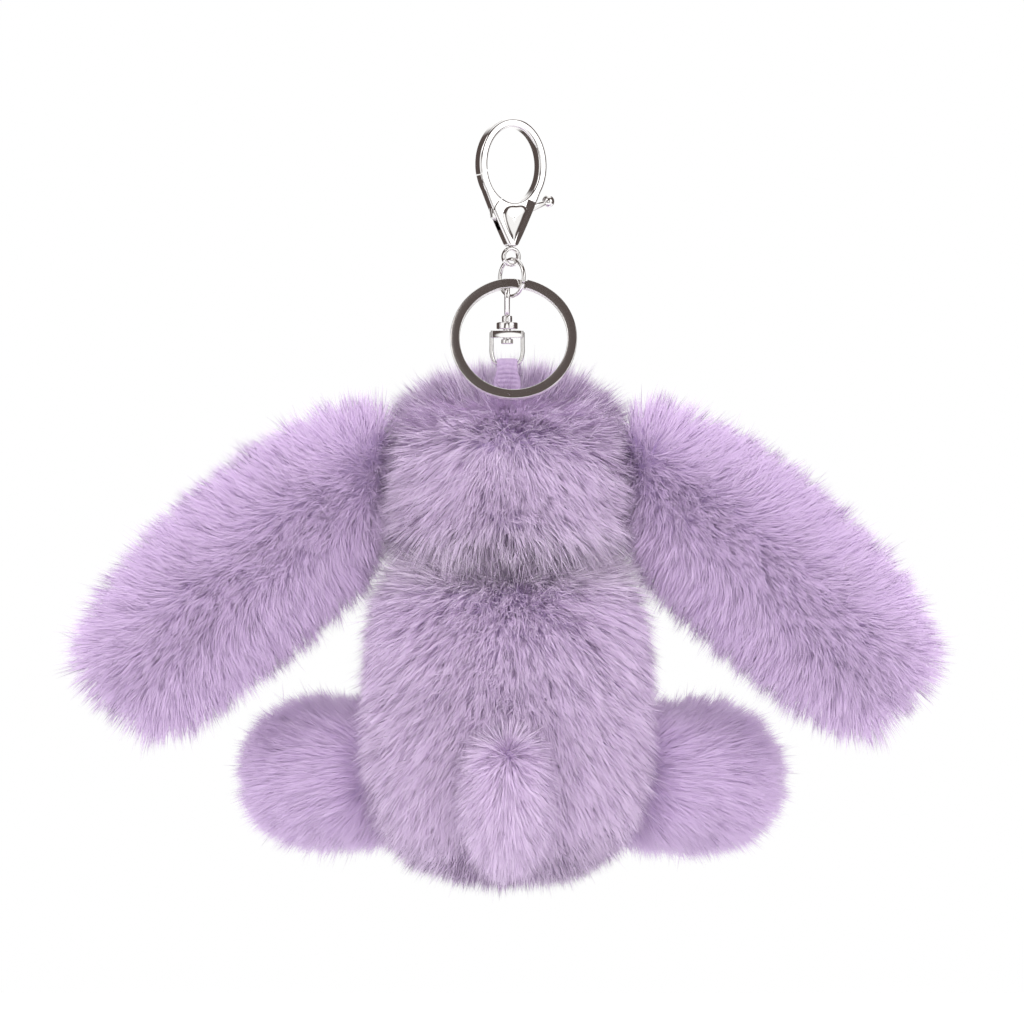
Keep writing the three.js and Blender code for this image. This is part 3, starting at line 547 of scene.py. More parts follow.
clasp = turned(clasp_body(), CLASP_YAW)
rides(clasp, "clasp", "nickel", "clasp_body")
gate = turned(clasp_gate(), CLASP_YAW)
rides(gate, "gate", "nickel", "clasp_gate")
half_pin = CLASP_THICKNESS / 2 + 0.45
pin = lathe("pin", rounded(PIN_RADIUS, -half_pin, half_pin, 0.2), (GATE_PIVOT[0], 0, GATE_PIVOT[1]), "Y", 32)
rides(turned(pin, CLASP_YAW), "clasp", "nickel", "gate_pin")

# ---- rings ----

wire_direction = np.array([-math.sin(JUMP_TURN), math.cos(JUMP_TURN), 0.0])
wire_side = np.array([wire_direction[1], -wire_direction[0], 0.0])
ring_contact = JUMP_CENTRE - wire_direction * RING_REACH

angle = math.radians(199) + np.linspace(0, math.radians(357), 120)
out = np.cos(angle)[:, None] * wire_direction + np.sin(angle)[:, None] * (0.0, 0.0, 1.0)
jump_ring = sweep("jump_ring_wire", JUMP_CENTRE + out * JUMP_RADIUS, out, np.tile(wire_side, (120, 1)),
                  round_section(JUMP_WIRE, JUMP_WIRE, 16))
rides(jump_ring, "jump_ring", "nickel", "jump_ring")


def key_ring():
    """Two turns of flat wire; the front turn's end lies just right of the top."""
    steps = 420
    middle = KEY_RING_OUTER - KEY_RING_WIDTH / 2
    offset = (KEY_RING_LAYER + KEY_RING_LAYER_GAP) / 2
    turn = np.linspace(KEY_RING_STEP, 4 * math.pi - KEY_RING_STEP, steps)
    past = np.clip((turn - math.tau) / KEY_RING_STEP, -1, 1)
    radial = np.stack([np.sin(turn), np.zeros(steps), np.cos(turn)], -1)
    centres = radial * middle + np.stack([np.zeros(steps), offset * np.sin(past * math.pi / 2),
                                          np.full(steps, -KEY_RING_OUTER)], -1)
    w, h, edge = KEY_RING_WIDTH / 2, KEY_RING_LAYER / 2, 0.2
    section = []
    for quarter, (right, up) in enumerate(((1, 1), (-1, 1), (-1, -1), (1, -1))):
        for i in range(5):
            a = math.pi / 2 * (quarter + i / 4)
            section.append((right * (w - edge) + edge * math.cos(a), up * (h - edge) + edge * math.sin(a)))
    ring = sweep("split_ring", centres, radial, np.tile((0.0, 1.0, 0.0), (steps, 1)), section,
                 materials=(nickel, nickel_flat))
    flat = np.zeros(len(ring.data.polygons), np.int32)
    normals = np.zeros(len(ring.data.polygons) * 3, np.float32)
    ring.data.polygons.foreach_get("normal", normals)
    flat[np.abs(normals.reshape(-1, 3)[:, 1]) > 0.985] = 1
    ring.data.polygons.foreach_set("material_index", flat)
    ring.data.set_sharp_from_angle(angle=math.radians(40))
    ring.data.transform(Matrix.Rotation(-KEY_RING_LEAN, 4, "X"))
    return moved(ring, (0.6, ring_contact[1], KEY_RING_TOP_Z))


rides(key_ring(), "key_ring", "nickel", "key_ring")

# ---- swivel ----


def swivel_eye():
    low, high = LOOP_BOTTOM_Z + 1.1, LOOP_TOP_Z - LOOP_HALF_WIDTH
    reach = LOOP_HALF_WIDTH * math.sqrt(0.5)
    half = [(0, LOOP_TOP_Z), (reach, high + reach), (LOOP_HALF_WIDTH, high), (2.2, high - 1.9), (1.05, low)]
    path = half + [(0, LOOP_BOTTOM_Z + 0.5)] + [(-y, z) for y, z in half[:0:-1]]
    line = smooth_curve([(0, y, z) for y, z in path], 90, closed=True)
    x_axis = np.tile((1.0, 0.0, 0.0), (90, 1))
    inward = np.cross(x_axis, tangents(line, True))
    loop = sweep("loop", line, x_axis, inward, round_section(*LOOP_WIRE, 18), True)
    stem = lathe("stem", rounded(1.25, FLANGE.top - 0.1, LOOP_BOTTOM_Z + 0.6, 0.3))
    flange = lathe("flange", rounded(FLANGE.radius, FLANGE.bottom, FLANGE.top, 0.3))
    post = lathe("post", rounded(POST_RADIUS, RIVET.top - 0.1, FLANGE.bottom + 0.1, 0.1))
    rivet = lathe("rivet", rounded(RIVET.radius, RIVET.bottom, RIVET.top, 0.3))
    return join("swivel_loop", [loop, stem, flange, post, rivet])


def swivel_bow():
    half_width, half_depth, top, bottom, corner = BRIDGE
    outline = [(half_width - corner, -half_depth), (half_width, corner - half_depth),
               (half_width, half_depth - corner), (half_width - corner, half_depth),
               (corner - half_width, half_depth), (-half_width, half_depth - corner),
               (-half_width, corner - half_depth), (corner - half_width, -half_depth)]
    block = prism("bridge", outline, top - bottom)
    block.data.transform(Matrix.Rotation(math.pi / 2, 4, "X"))
    moved(block, (0, 0, (top + bottom) / 2))
    bore = [(0, bottom - 1), (BRIDGE_BORE, bottom - 1), (BRIDGE_BORE, top + 1), (0, top + 1)]
    subtract(block, lathe("tool", bore))
    bevelled(block, 0.16, 3)
    half = [(BOW_HALF_WIDTH, top - 0.4), (BOW_HALF_WIDTH, bottom - 1.6), (BOW_HALF_WIDTH, BOW_SHOULDER_Z),
            (BOW_BAR_HALF + 0.2, BOW_BAR_Z + 0.7), (BOW_BAR_HALF - 0.7, BOW_BAR_Z)]
    path = [(-x, z) for x, z in half] + [(0, BOW_BAR_Z)] + half[::-1]
    line = smooth_curve([(x, 0, z) for x, z in path], 110)
    y_axis = np.tile((0.0, 1.0, 0.0), (110, 1))
    bow = sweep("bow", line, y_axis, np.cross(y_axis, tangents(line)), round_section(BOW_WIRE, BOW_WIRE, 16))
    return join("swivel_yoke", [block, bow])


rides(moved(swivel_eye(), AXIS), "swivel_eye", "nickel", "swivel_eye")
rides(moved(swivel_bow(), AXIS), "swivel_bow", "nickel", "swivel_bow")

# ---- ribbon ----

RIB_PITCH = 1.15
RIB_HEIGHT = 0.15


def ribbon_strap():
    """One strap, folded over the bow's bar, with cross ribs and smooth selvages."""
    bend = BOW_WIRE + RUN_GAP + RIBBON_LAYER / 2
    inner = RIBBON_LAYER / 2 + 0.02
    front = [(-inner, RIBBON_BOTTOM_Z), (-inner, -68), (-inner, -62), (-inner - 0.08, -59.6),
             (-bend + 0.12, -57.6), (-bend, BOW_BAR_Z)]
    over = arc((0, BOW_BAR_Z), bend, math.pi * 0.75, math.pi / 4, 3).tolist()
    path = front + over + [(-y, z) for y, z in front[::-1]]
    steps = 420
    line = smooth_curve([(0, y, z) for y, z in path], steps)
    run = np.concatenate([[0], np.cumsum(np.linalg.norm(np.diff(line, axis=0), axis=1))])
    outer = np.cross(tangents(line), (1.0, 0.0, 0.0))
    outer *= np.sign(outer[len(outer) // 4, 1]) * -1
    spread = np.clip((BOW_BAR_Z - 1.2 - line[:, 2]) / 3.4, 0, 1)
    width = RIBBON_NECK + (RIBBON_WIDTH - RIBBON_NECK) * spread * spread * (3 - 2 * spread)
    share = np.linspace(-1, 1, 29)
    inside = np.clip((0.84 - np.abs(share)) / 0.1, 0, 1)
    phase = (run[:, None] + 0.5 * (1 - spread[:, None] * 0.75) * share**2) / RIB_PITCH
    rib = RIB_HEIGHT * inside * (0.5 + 0.5 * np.cos(math.tau * phase)) ** 0.7
    edge = 0.06 * np.clip((np.abs(share) - 0.84) / 0.06, 0, 1) * np.sqrt(np.clip(1.02 - share**2, 0, 1))
    thick = RIBBON_LAYER / 2 - 0.08 + rib + edge
    points = []
    for i in range(steps):
        x = share * width[i] / 2
        flat = line[i] + x[:, None] * (1.0, 0.0, 0.0)
        rise = thick[i][:, None] * outer[i]
        points.append(np.vstack([flat + rise, (flat - rise)[::-1]]))
    sides = 2 * len(share)
    faces = band_faces([sides] * steps)
    faces += [tuple(range(sides)), tuple(range((steps - 1) * sides, steps * sides))[::-1]]
    return outward(mesh_object("ribbon_strap", np.vstack(points), faces, [grosgrain]))


rides(moved(ribbon_strap(), AXIS), "head", "grosgrain", "ribbon")

# ---- the rabbit's cloth forms ----


def share(value, corner):
    return max(0.0, 1 - abs(value) ** corner) ** (1 / corner)


def smoothstep(low, high, value):
    t = np.clip((value - low) / (high - low), 0, 1)
    return t * t * (3 - 2 * t)


def torso_middle(z):
    fall = (TORSO.top - z) / (TORSO.top - TORSO.bottom)
    return np.array([0.0, TORSO_SHIFT + TORSO_LEAN * fall, 0.0])


def torso_share(z):
    return share((2 * z - TORSO.top - TORSO.bottom) / (TORSO.top - TORSO.bottom), TORSO.corner)


def stacked(shape, middle, levels=36, sides=72):
    """Rings of a rounded box from its bottom tip to its top one, with a corner for each half."""
    half_width, half_depth, top, bottom, *corners = shape
    rings = []
    for i in range(levels + 1):
        rise = -math.cos(math.pi * i / levels)
        corner = corners[0] if rise > 0 else corners[-1]
        eased = math.copysign(abs(rise) ** (2 / corner), rise)
        z = (top + bottom) / 2 + eased * (top - bottom) / 2
        size = share(eased, corner)
        centre = middle(z)
        if i in (0, levels):
            rings.append(np.array([[centre[0], centre[1], z]]))
            continue
        a = full_turn(sides)
        rings.append(np.stack([centre[0] + half_width * size * np.cos(a),
                               centre[1] + half_depth * size * np.sin(a), np.full(sides, z)], -1))
    return rings


def limb(point, girth, seam=None, levels=36, sides=48):
    """Rings round a curve. point(t) is a place on it and girth(u) a section's two half sizes, in the
    XZ plane and out of it. With a seam direction, the first rings face that way."""
    rings = []
    for i in range(levels + 1):
        u = i / levels
        t = (1 - math.cos(math.pi * u)) / 2
        centre = point(t)
        if i in (0, levels):
            rings.append(centre[None])
            continue
        tangent = unit(point(min(t + 0.01, 1.0)) - point(max(t - 0.01, 0.0)))
        if seam is not None:
            turn = min(1.0, t / EAR_TURN)
            tangent = unit(np.array(seam) * (1 - turn) + tangent * turn)
        across = unit(np.cross((0.0, 1.0, 0.0), tangent))
        along = np.cross(tangent, across)
        wide, thick = girth(u)
        a = full_turn(sides)
        rings.append(centre + wide * np.cos(a)[:, None] * across + thick * np.sin(a)[:, None] * along)
    return rings


def ear_point(t):
    root, tip = EAR_ROOT + (0.8, 0.0, 0.6), EAR_TIP - (6.6, 0.0, 2.4)
    return (1 - t) ** 2 * root + 2 * t * (1 - t) * (EAR_BEND + (0.0, 0.0, 5.5)) + t * t * tip


def ear_girth(u):
    bulge = math.sin(math.pi * u)
    return ((EAR_HALF_WIDTH - SKIN_DEPTH + 1.4) * bulge ** (0.45 if u < 0.5 else 0.42),
            (EAR_HALF_THICKNESS - SKIN_DEPTH + 0.8) * bulge**0.8)


arm_axis = unit(ARM_END - ARM_ROOT)


def arm_point(t):
    reach = ARM_RADIUS - SKIN_DEPTH
    return ARM_ROOT - arm_axis * reach + arm_axis * t * (np.linalg.norm(ARM_END - ARM_ROOT) + 2 * reach)


def arm_girth(u):
    radius = (ARM_RADIUS - SKIN_DEPTH) * math.sin(math.pi * u) ** 0.6
    return radius, radius


leg_axis = unit([math.cos(LEG_ANGLE) / TORSO.half_width, math.sin(LEG_ANGLE) / TORSO.half_depth, 0.0])
leg_root = torso_middle(LEG_Z) + (TORSO.half_width * torso_share(LEG_Z) * math.cos(LEG_ANGLE),
                                  TORSO.half_depth * torso_share(LEG_Z) * math.sin(LEG_ANGLE), LEG_Z)
leg_root = leg_root + leg_axis * SEAM_GAP
LEG_REACH = LEG_LENGTH - SKIN_DEPTH + 1.2


def leg_point(side):
    """The left leg is pressed in a little and the right one droops, as they sit."""
    reach = LEG_REACH - (3.2 if side < 0 else 0.0)
    return lambda t: leg_root + leg_axis * t * reach - (0.0, 0.0, (2.2 if side > 0 else 0.6) * t)


def leg_girth(u):
    radius = LEG_RADIUS - SKIN_DEPTH + 2.0
    along = LEG_REACH * (1 - math.cos(math.pi * u)) / 2
    seam = share(1 - min(1, along / 7), 2.2) * (0.84 + 0.16 * min(1, along / 24))
    foot = share(max(0, 1 - (LEG_REACH - along) / radius), 2)
    radius *= min(seam, foot)
    return radius, radius


tail_root = torso_middle(TAIL_Z)[1] - TORSO.half_depth * torso_share(TAIL_Z) - SEAM_GAP


def tail_rings(levels=28, sides=48):
    wide, tall = TAIL_HALF_WIDTH - SKIN_DEPTH + 0.8, TAIL_HALF_HEIGHT - SKIN_DEPTH + 1.4
    middle_z = TAIL_Z + 1.5
    a = full_turn(sides)
    rings = []
    for i in range(levels + 1):
        y = tail_root - (1 - math.cos(math.pi * i / levels)) / 2 * (2 * TAIL_HALF_DEPTH - SKIN_DEPTH)
        if i in (0, levels):
            rings.append(np.array([[0.0, y, middle_z]]))
            continue
        bulge = math.sin(math.pi * i / levels) ** 0.9
        z = middle_z + tall * bulge * np.sin(a)
        rings.append(np.stack([wide * bulge * np.cos(a), np.full(sides, y), z], -1))
    return rings


def mirrored(rings):
    return [ring * (-1, 1, 1) for ring in rings]


class Form:
    """A sewn cloth form as plain arrays, and the piece that shows it."""

    def __init__(self, name, rings):
        faces = band_faces([len(ring) for ring in rings])
        self.name = name
        self.points = np.vstack(rings)
        self.piece = outward(mesh_object(name, self.points + AXIS, faces, [backing]))
        mesh = self.piece.data
        mesh.calc_loop_triangles()
        self.triangles = np.zeros(len(mesh.loop_triangles) * 3, np.int32)
        mesh.loop_triangles.foreach_get("vertices", self.triangles)
        self.triangles = self.triangles.reshape(-1, 3)
        normals = np.zeros(len(mesh.vertices) * 3, np.float32)
        mesh.vertex_normals.foreach_get("vector", normals)
        self.normals = normals.reshape(-1, 3).astype(float)


# ---- fur ----


def waves(points, rng, wavelength, count=7):
    """A smooth random direction at each point."""
    field = np.zeros_like(points)
    for _ in range(count):
        turn = unit(rng.normal(size=3)) * math.tau / (wavelength * rng.uniform(0.7, 1.6))
        field += np.sin(points @ turn + rng.uniform(0, math.tau))[:, None] * unit(rng.normal(size=3))
    return field / math.sqrt(count)


def strand_paths(form, count, comb, crowded, rng):
    """Where each strand runs: its points, its root's normal, and how pale it is."""
    corners = form.points[form.triangles]
    area = np.linalg.norm(np.cross(corners[:, 1] - corners[:, 0], corners[:, 2] - corners[:, 0]), axis=1)
    if crowded:
        area = area * crowded(corners.mean(1))
    pick = rng.choice(len(area), count, p=area / area.sum())
    a = np.sqrt(rng.random(count))
    b = rng.random(count)
    weight = np.stack([1 - a, a * (1 - b), a * b], -1)[:, :, None]
    root = (corners[pick] * weight).sum(1)
    normal = unit((form.normals[form.triangles][pick] * weight).sum(1))
    flow, lift, length, tone, tuft = comb(root, normal)
    flow = flow - (flow * normal).sum(-1, keepdims=True) * normal
    centres = rng.choice(count, max(4, int(count / 14)), replace=False)
    tree = KDTree(len(centres))
    for i, at in enumerate(centres):
        tree.insert(root[at], i)
    tree.balance()
    clump = np.array([centres[tree.find(p)[1]] for p in root])
    sway = waves(root, rng, 18) * 0.1 + waves(root, rng, 6) * 0.05
    lone = rng.random(count) < 0.07
    jitter = rng.normal(size=(count, 3))
    push = sway + jitter[clump] * 0.06 + jitter * (0.09 + 0.12 * lone[:, None])
    start = unit(normal * lift[:, None] + flow * (1 - lift[:, None]) + push)
    curl = flow * 0.34 * (1.15 - lift[:, None]) + push * 0.15 + (0.0, 0.0, -0.05)
    uneven = 0.94 + 0.1 * rng.normal(size=count)[clump] + 0.07 * rng.normal(size=count)
    long = length * uneven * (1 + 0.12 * lone)
    t = STRAND_STEPS[None, :, None]
    path = start[:, None] * t + curl[:, None] * t * t
    path *= (long / np.linalg.norm(path[:, -1], axis=-1))[:, None, None]
    points = root[:, None] + path
    hold = (tuft * (0.18 + 0.3 * rng.random(count)) * ~lone)[:, None, None] * t**1.3
    apart = (root - root[clump])[:, None] * (0.34 + 0.2 * rng.random(count))[:, None, None]
    points += hold * (points[clump] + apart - points)
    pale = tone + 0.15 * rng.normal(size=count)[clump] + 0.25 * rng.normal(size=count)
    return points, normal, pale


def strand_mesh(name, points, normal, pale, width, rng):
    """Tapered ribbons with one triangle at each tip, darker at the root and paler at the tip: painted shade
    deep in the pile and painted light at the tips.
    """
    count, steps = points.shape[:2]
    tangent = unit(np.gradient(points, axis=1))
    reference = unit(normal + 0.25 * rng.normal(size=normal.shape))[:, None]
    wide = unit(np.cross(tangent, np.broadcast_to(reference, tangent.shape)))
    roll = rng.uniform(-0.85, 0.85, count)[:, None, None]
    wide = unit(wide * np.cos(roll) + np.cross(tangent, wide) * np.sin(roll))
    facing = np.cross(wide, tangent)
    flip = np.where((facing * normal[:, None]).sum(-1, keepdims=True).mean(1, keepdims=True) < 0, -1.0, 1.0)
    wide, facing = wide * flip, facing * flip
    half = (width * rng.uniform(0.75, 1.2, count))[:, None, None] * STEP_WIDTHS[None, :, None] / 2
    body = points[:, :-1]
    left, right = body - wide[:, :-1] * half, body + wide[:, :-1] * half
    vertices = np.concatenate([np.stack([left, right], 2).reshape(count, -1, 3), points[:, -1:]], 1)
    soft = normal[:, None] * 0.75 + facing * 0.3
    around = np.stack([soft[:, :-1] - wide[:, :-1] * 0.3, soft[:, :-1] + wide[:, :-1] * 0.3], 2)
    shading = unit(np.concatenate([around.reshape(count, -1, 3), soft[:, -1:]], 1))
    each = 2 * (steps - 1) + 1
    quads = steps - 2
    pattern = []
    for i in range(quads):
        pattern += [2 * i, 2 * i + 1, 2 * i + 3, 2 * i + 2]
    pattern += [each - 3, each - 2, each - 1]
    corner = (np.arange(count)[:, None] * each + np.array(pattern)).reshape(-1)
    starts = (np.arange(count)[:, None] * len(pattern) + np.arange(quads + 1) * 4).reshape(-1)
    mesh = bpy.data.meshes.new(name)
    mesh.vertices.add(count * each)
    mesh.loops.add(len(corner))
    mesh.polygons.add(len(starts))
    mesh.vertices.foreach_set("co", ((vertices + AXIS) * MM).astype(np.float32).reshape(-1))
    mesh.loops.foreach_set("vertex_index", corner.astype(np.int32))
    mesh.polygons.foreach_set("loop_start", starts.astype(np.int32))
    # Painted shade and light along each strand: the root step is darker and the tip steps paler.
    root_shade_tip_light = np.array([-0.1, 0.15, 0.5])
    tone = np.clip(np.rint(3.0 + pale[:, None] + root_shade_tip_light[None]), 0, len(fur) - 1).astype(np.int32)
    mesh.polygons.foreach_set("material_index", tone.reshape(-1))
    mesh.polygons.foreach_set("use_smooth", np.ones(len(starts), bool))
    for made in fur:
        mesh.materials.append(made)
    mesh.update(calc_edges=True)
    mesh.normals_split_custom_set_from_vertices(shading.reshape(-1, 3).astype(np.float32))
    return placed(name, mesh)


def grow(form, body, slot, count, comb, seed, crowded=None):
    """Covers a form with fur, in pieces of a handy size."""
    rng = np.random.default_rng(seed)
    count = int(count * THINNING)
    points, normal, pale = strand_paths(form, count, comb, crowded, rng)
    parts = math.ceil(count / STRANDS_A_PIECE)
    order = rng.permutation(count)
    width = STRAND_WIDTH / math.sqrt(THINNING)
    for i in range(parts):
        own = order[i::parts]
        name = f"{form.name}_pile_{i + 1}"
        piece = strand_mesh(name, points[own], normal[own], pale[own], width, rng)
        rides(piece, body, slot)


# A comb says, for roots p and normals n, which way the strands flow, their lift (0 flat, 1 upright),
# their length, how pale they are and how much they clump.

def blend_flow(a, b, amount):
    return a * (1 - amount[:, None]) + b * amount[:, None]


def face_share(x, y, z):
    """1 on the middle of the face, where the cloth is padded and the pile clipped, and 0 away from it."""
    return (y > 0) * np.exp(-((x / 15) ** 4) - ((z + 82) / 9) ** 4)


def comb_head(p, n):
    x, y, z = p.T
    jaw = smoothstep(-90, -98, z)
    down = np.stack([x / 26 * 0.55, y / 24 * (0.35 + 0.75 * jaw), np.full_like(x, -0.85)], -1)
    over = np.stack([x / 16, (y - 1.5) / 9, np.zeros_like(x)], -1)
    over /= np.maximum(1.0, np.linalg.norm(over, axis=-1, keepdims=True))
    crown = smoothstep(-79, -71.5, z)
    flow = blend_flow(down, over, crown)
    behind = smoothstep(-2.0, 3.5, y)
    pressed = crown * (1 - behind) * smoothstep(15, 9, np.abs(x)) * smoothstep(-14.5, -10.5, y)
    lift = 0.58 + 0.36 * crown * behind - 0.3 * pressed + 0.2 * smoothstep(0.6, 0.95, np.abs(n[:, 0]))
    centre = np.exp(-((x / 13) ** 2 + ((z + 90) / 8) ** 2)) * (y < 0)
    lift = lift + 0.22 * centre
    length = 9.3 + 3.4 * crown * behind - 3.0 * pressed + 5.0 * jaw - 3.3 * face_share(x, y, z)
    for side in (-1, 1):
        away = np.sqrt((x - side * BUTTON_X) ** 2 + (z - BUTTON_Z) ** 2)
        length = np.where(y > 0, length * np.clip((away - 1.2) / 6.5, 0.22, 1), length)
    away = np.sqrt(x**2 + ((z - NOSE_Z) * 1.3) ** 2)
    length = np.where(y > 0, length * np.clip((away - 0.8) / 7, 0.2, 1), length)
    parting = np.exp(-((x / 14) ** 2 + ((z + 75) / 5) ** 2))
    # The jaw and the parting are made paler: painted light that lifts the shade in the crease over the neck
    # and where the pile parts.
    tone = 0.2 * crown - 0.2 * centre + 1.5 * jaw + 0.7 * parting
    return flow, lift, length, tone, 0.7 + 0.2 * centre


def comb_torso(p, n):
    x, y, z = p.T
    middle = TORSO_SHIFT + TORSO_LEAN * 0.5
    down = np.stack([x / 32 * 0.5, (y - middle) / 24 * 0.25, np.full_like(x, -0.9)], -1)
    apart = np.stack([x / 32, (y - middle) / 24, np.full_like(x, -0.3)], -1)
    low = smoothstep(-160, -174, z)
    flow = blend_flow(down, apart, low)
    neck = smoothstep(-114, -106, z)
    patch = np.exp(-((x / 17) ** 2 + ((z + 131) / 13) ** 2)) * (y < middle)
    lift = 0.56 + 0.2 * patch + 0.06 * neck
    length = 9.5 - 0.8 * patch + 1.0 * neck
    # The neck is made paler: painted light that lifts the shade in the crease under the head.
    tone = -0.1 * patch + 0.1 * low + 2.0 * neck
    return flow, lift, length, tone, 0.7 + 0.2 * patch


def ear_frame(p):
    """Where a point lies on the right ear: how far along it, how far off its middle line, and both
    directions."""
    t = np.linspace(0, 1, 81)
    line = np.array([ear_point(v) for v in t])
    nearest = np.argmin(((p[:, None, [0, 2]] - line[None, :, [0, 2]]) ** 2).sum(-1), 1)
    tangent = tangents(line)[nearest]
    across = unit(np.cross((0.0, 1.0, 0.0), tangent))
    offset = ((p - line[nearest]) * across).sum(-1) / (EAR_HALF_WIDTH - SKIN_DEPTH)
    return t[nearest], offset, tangent, across


def comb_ear(side):
    def comb(p, n):
        flip = np.array([side, 1.0, 1.0])
        t, offset, tangent, across = ear_frame(p * flip)
        out = np.abs(offset)
        sideways = np.sign(offset) * smoothstep(0.05, 0.8, out)
        tip = smoothstep(0.72, 1.0, t)
        middle = 1 - smoothstep(0.1, 0.7, out)
        root = 1 - smoothstep(0.0, 0.14, t)
        onward = 0.3 + 0.6 * np.maximum(tip, middle)
        flow = across * (sideways * (1 - 0.3 * tip))[:, None] + tangent * onward[:, None]
        flow = flow - tangent * (0.7 * root)[:, None]
        lift = 0.52 + 0.22 * middle * (1 - 0.5 * tip) + 0.1 * root * middle
        length = 9.6 - 1.3 * middle + 0.4 * tip
        tone = -0.3 * middle - 1.2 - 0.3 * smoothstep(0.55, 0.95, out) + 0.2 * tip
        return flow * flip, lift, length, tone, 0.7 + 0.2 * middle
    return comb


def comb_limb(root, axis, reach, side, pale):
    def comb(p, n):
        flip = np.array([side, 1.0, 1.0])
        along = ((p * flip - root) @ axis) / reach
        end = smoothstep(0.62, 1.0, along)
        flow = np.tile(axis + (0.0, 0.0, -0.12), (len(p), 1)) * flip
        return flow, 0.56 + 0.2 * end, 8.7, pale + 0.25 * end, 0.7
    return comb


def comb_tail(p, n):
    x, y, z = p.T
    down = np.stack([x / TAIL_HALF_WIDTH * 0.5, np.zeros_like(x), np.full_like(x, -0.8)], -1)
    return down, np.full_like(x, 0.42), 8.4, 0.1, 0.4


def head_skin_middle(z):
    """The head's cloth leans back over the neck."""
    return np.array([0.0, -2.0 * smoothstep(-88, -100, z), 0.0])


def torso_skin_middle(z):
    """The torso's cloth comes forward at the neck."""
    return torso_middle(z) + (0, 3.2 * smoothstep(-124, -107, z), 0)


head_skin = (HEAD.half_width - SKIN_DEPTH + 0.5, HEAD.half_depth - SKIN_DEPTH, HEAD.top - 1.2,
             HEAD.bottom + 1.6, 2.8, 3.6)
torso_skin = (TORSO.half_width - SKIN_DEPTH + 1.2, TORSO.half_depth - SKIN_DEPTH, TORSO.top + 1.8,
              TORSO.bottom + SKIN_DEPTH, 3.5, 3.0)

head_rings = stacked(head_skin, head_skin_middle)
for ring in head_rings:
    ring[:, 1] += 3.0 * face_share(*ring.T)
head = Form("head_cloth", head_rings)
rides(head.piece, "head", "lilac_fur", "head_cover", "head_stuffing")
grow(head, "head", "lilac_fur", 68000, comb_head, 11,
     lambda p: 1 + 1.6 * smoothstep(-80, -71, p[:, 2]) * smoothstep(-1.0, 4.0, p[:, 1]))

torso = Form("torso_cloth", stacked(torso_skin, torso_skin_middle))
rides(torso.piece, "torso", "lilac_fur", "torso_cover", "torso_stuffing")
grow(torso, "torso", "lilac_fur", 100000, comb_torso, 12)

arm_reach = np.linalg.norm(ARM_END - ARM_ROOT) + ARM_RADIUS
for side_name, side in (("left", -1), ("right", 1)):
    for part, rings, fill, count, comb, seed in (
        ("ear", limb(ear_point, ear_girth, (1.0, 0.0, 0.0)), 0.45, 54000, comb_ear(side), 124),
        ("arm", limb(arm_point, arm_girth), 0.7, 9000,
         comb_limb(ARM_ROOT, arm_axis, arm_reach, side, 0.0), 120),
        ("leg", limb(leg_point(side), leg_girth), 0.8, 32000,
         comb_limb(leg_root, leg_axis, LEG_LENGTH, side, -1.8), 131),
    ):
        form = Form(f"{part}_{side_name}_cloth", rings if side > 0 else mirrored(rings))
        body = f"{part}_{side_name}"
        rides(form.piece, body, "lilac_fur", f"{body}_cover", f"{body}_stuffing")
        grow(form, body, "lilac_fur", count, comb, seed + 3 * side)

tail = Form("tail_cloth", tail_rings())
rides(tail.piece, "tail", "pale_fur", "tail_cover", "tail_stuffing")
grow(tail, "tail", "pale_fur", 20000, comb_tail, 31)

# ---- face ----

head_middle = (HEAD.top + HEAD.bottom) / 2
head_half = (HEAD.top - HEAD.bottom) / 2


def face_y(x, z):
    size = share((z - head_middle) / head_half, HEAD.corner)
    return HEAD.half_depth * size * math.sqrt(1 - (x / (HEAD.half_width * size)) ** 2)


eye_y = face_y(BUTTON_X, BUTTON_Z)
dome = [(0.0, 0.0), (BUTTON_RADIUS - 0.15, 0.0), (BUTTON_RADIUS, 0.12)]
for a in np.linspace(0.05, math.pi / 2, 14)[:-1]:
    dome.append((BUTTON_RADIUS * math.cos(a), 0.2 + (BUTTON_HEIGHT - 0.2) * math.sin(a)))
dome += [(0.0, BUTTON_HEIGHT)]
for side_name, side in (("left", -1), ("right", 1)):
    button = lathe("eye_button", dome, (side * BUTTON_X, eye_y - 0.2, BUTTON_Z), "Y", 48, (black_plastic,))
    shank = lathe("shank", rounded(SHANK_RADIUS, -4.0, 4.0, 0.2), (side * BUTTON_X, eye_y - 2.6, BUTTON_Z),
                  "Y", 20, (black_plastic,))
    eye = join(f"eye_button_{side_name}", [button, shank])
    rides(moved(eye, AXIS), "head", "black_plastic", f"eye_{side_name}")


def nose():
    """Satin stitches side by side over a low oval pad."""
    levels, sides, stitch_width = 40, 96, 0.42
    half_width, thickness, half_height = NOSE_HALF_SIZE
    ring = full_turn(sides)
    rows = []
    for i in range(levels + 1):
        polar = math.pi * i / levels
        z = math.cos(polar) * half_height
        if i in (0, levels):
            rows.append(np.array([[0.0, 0.0, z]]))
            continue
        side_x = math.sin(polar) * np.cos(ring)
        ridge = 1 + 0.05 * np.sin(side_x * half_width / stitch_width * math.tau)
        depth = math.sin(polar) * np.sin(ring) * thickness * ridge
        rows.append(np.stack([side_x * half_width, depth, np.full(sides, z)], -1))
    points = np.vstack(rows) + (0, face_y(0, NOSE_Z) + 0.2, NOSE_Z)
    return outward(mesh_object("nose_satin", points, band_faces([len(row) for row in rows]), [pink_thread]))


rides(moved(nose(), AXIS), "head", "pink_thread", "nose_stitching")

# ---- the CAD nodes that stay ----

for node, made in (("gate_spring", spring_steel), ("eye_washer_left", washer_plastic),
                   ("eye_washer_right", washer_plastic)):
    nodes[node].data.materials.clear()
    nodes[node].data.materials.append(made)

# ---- studio ----

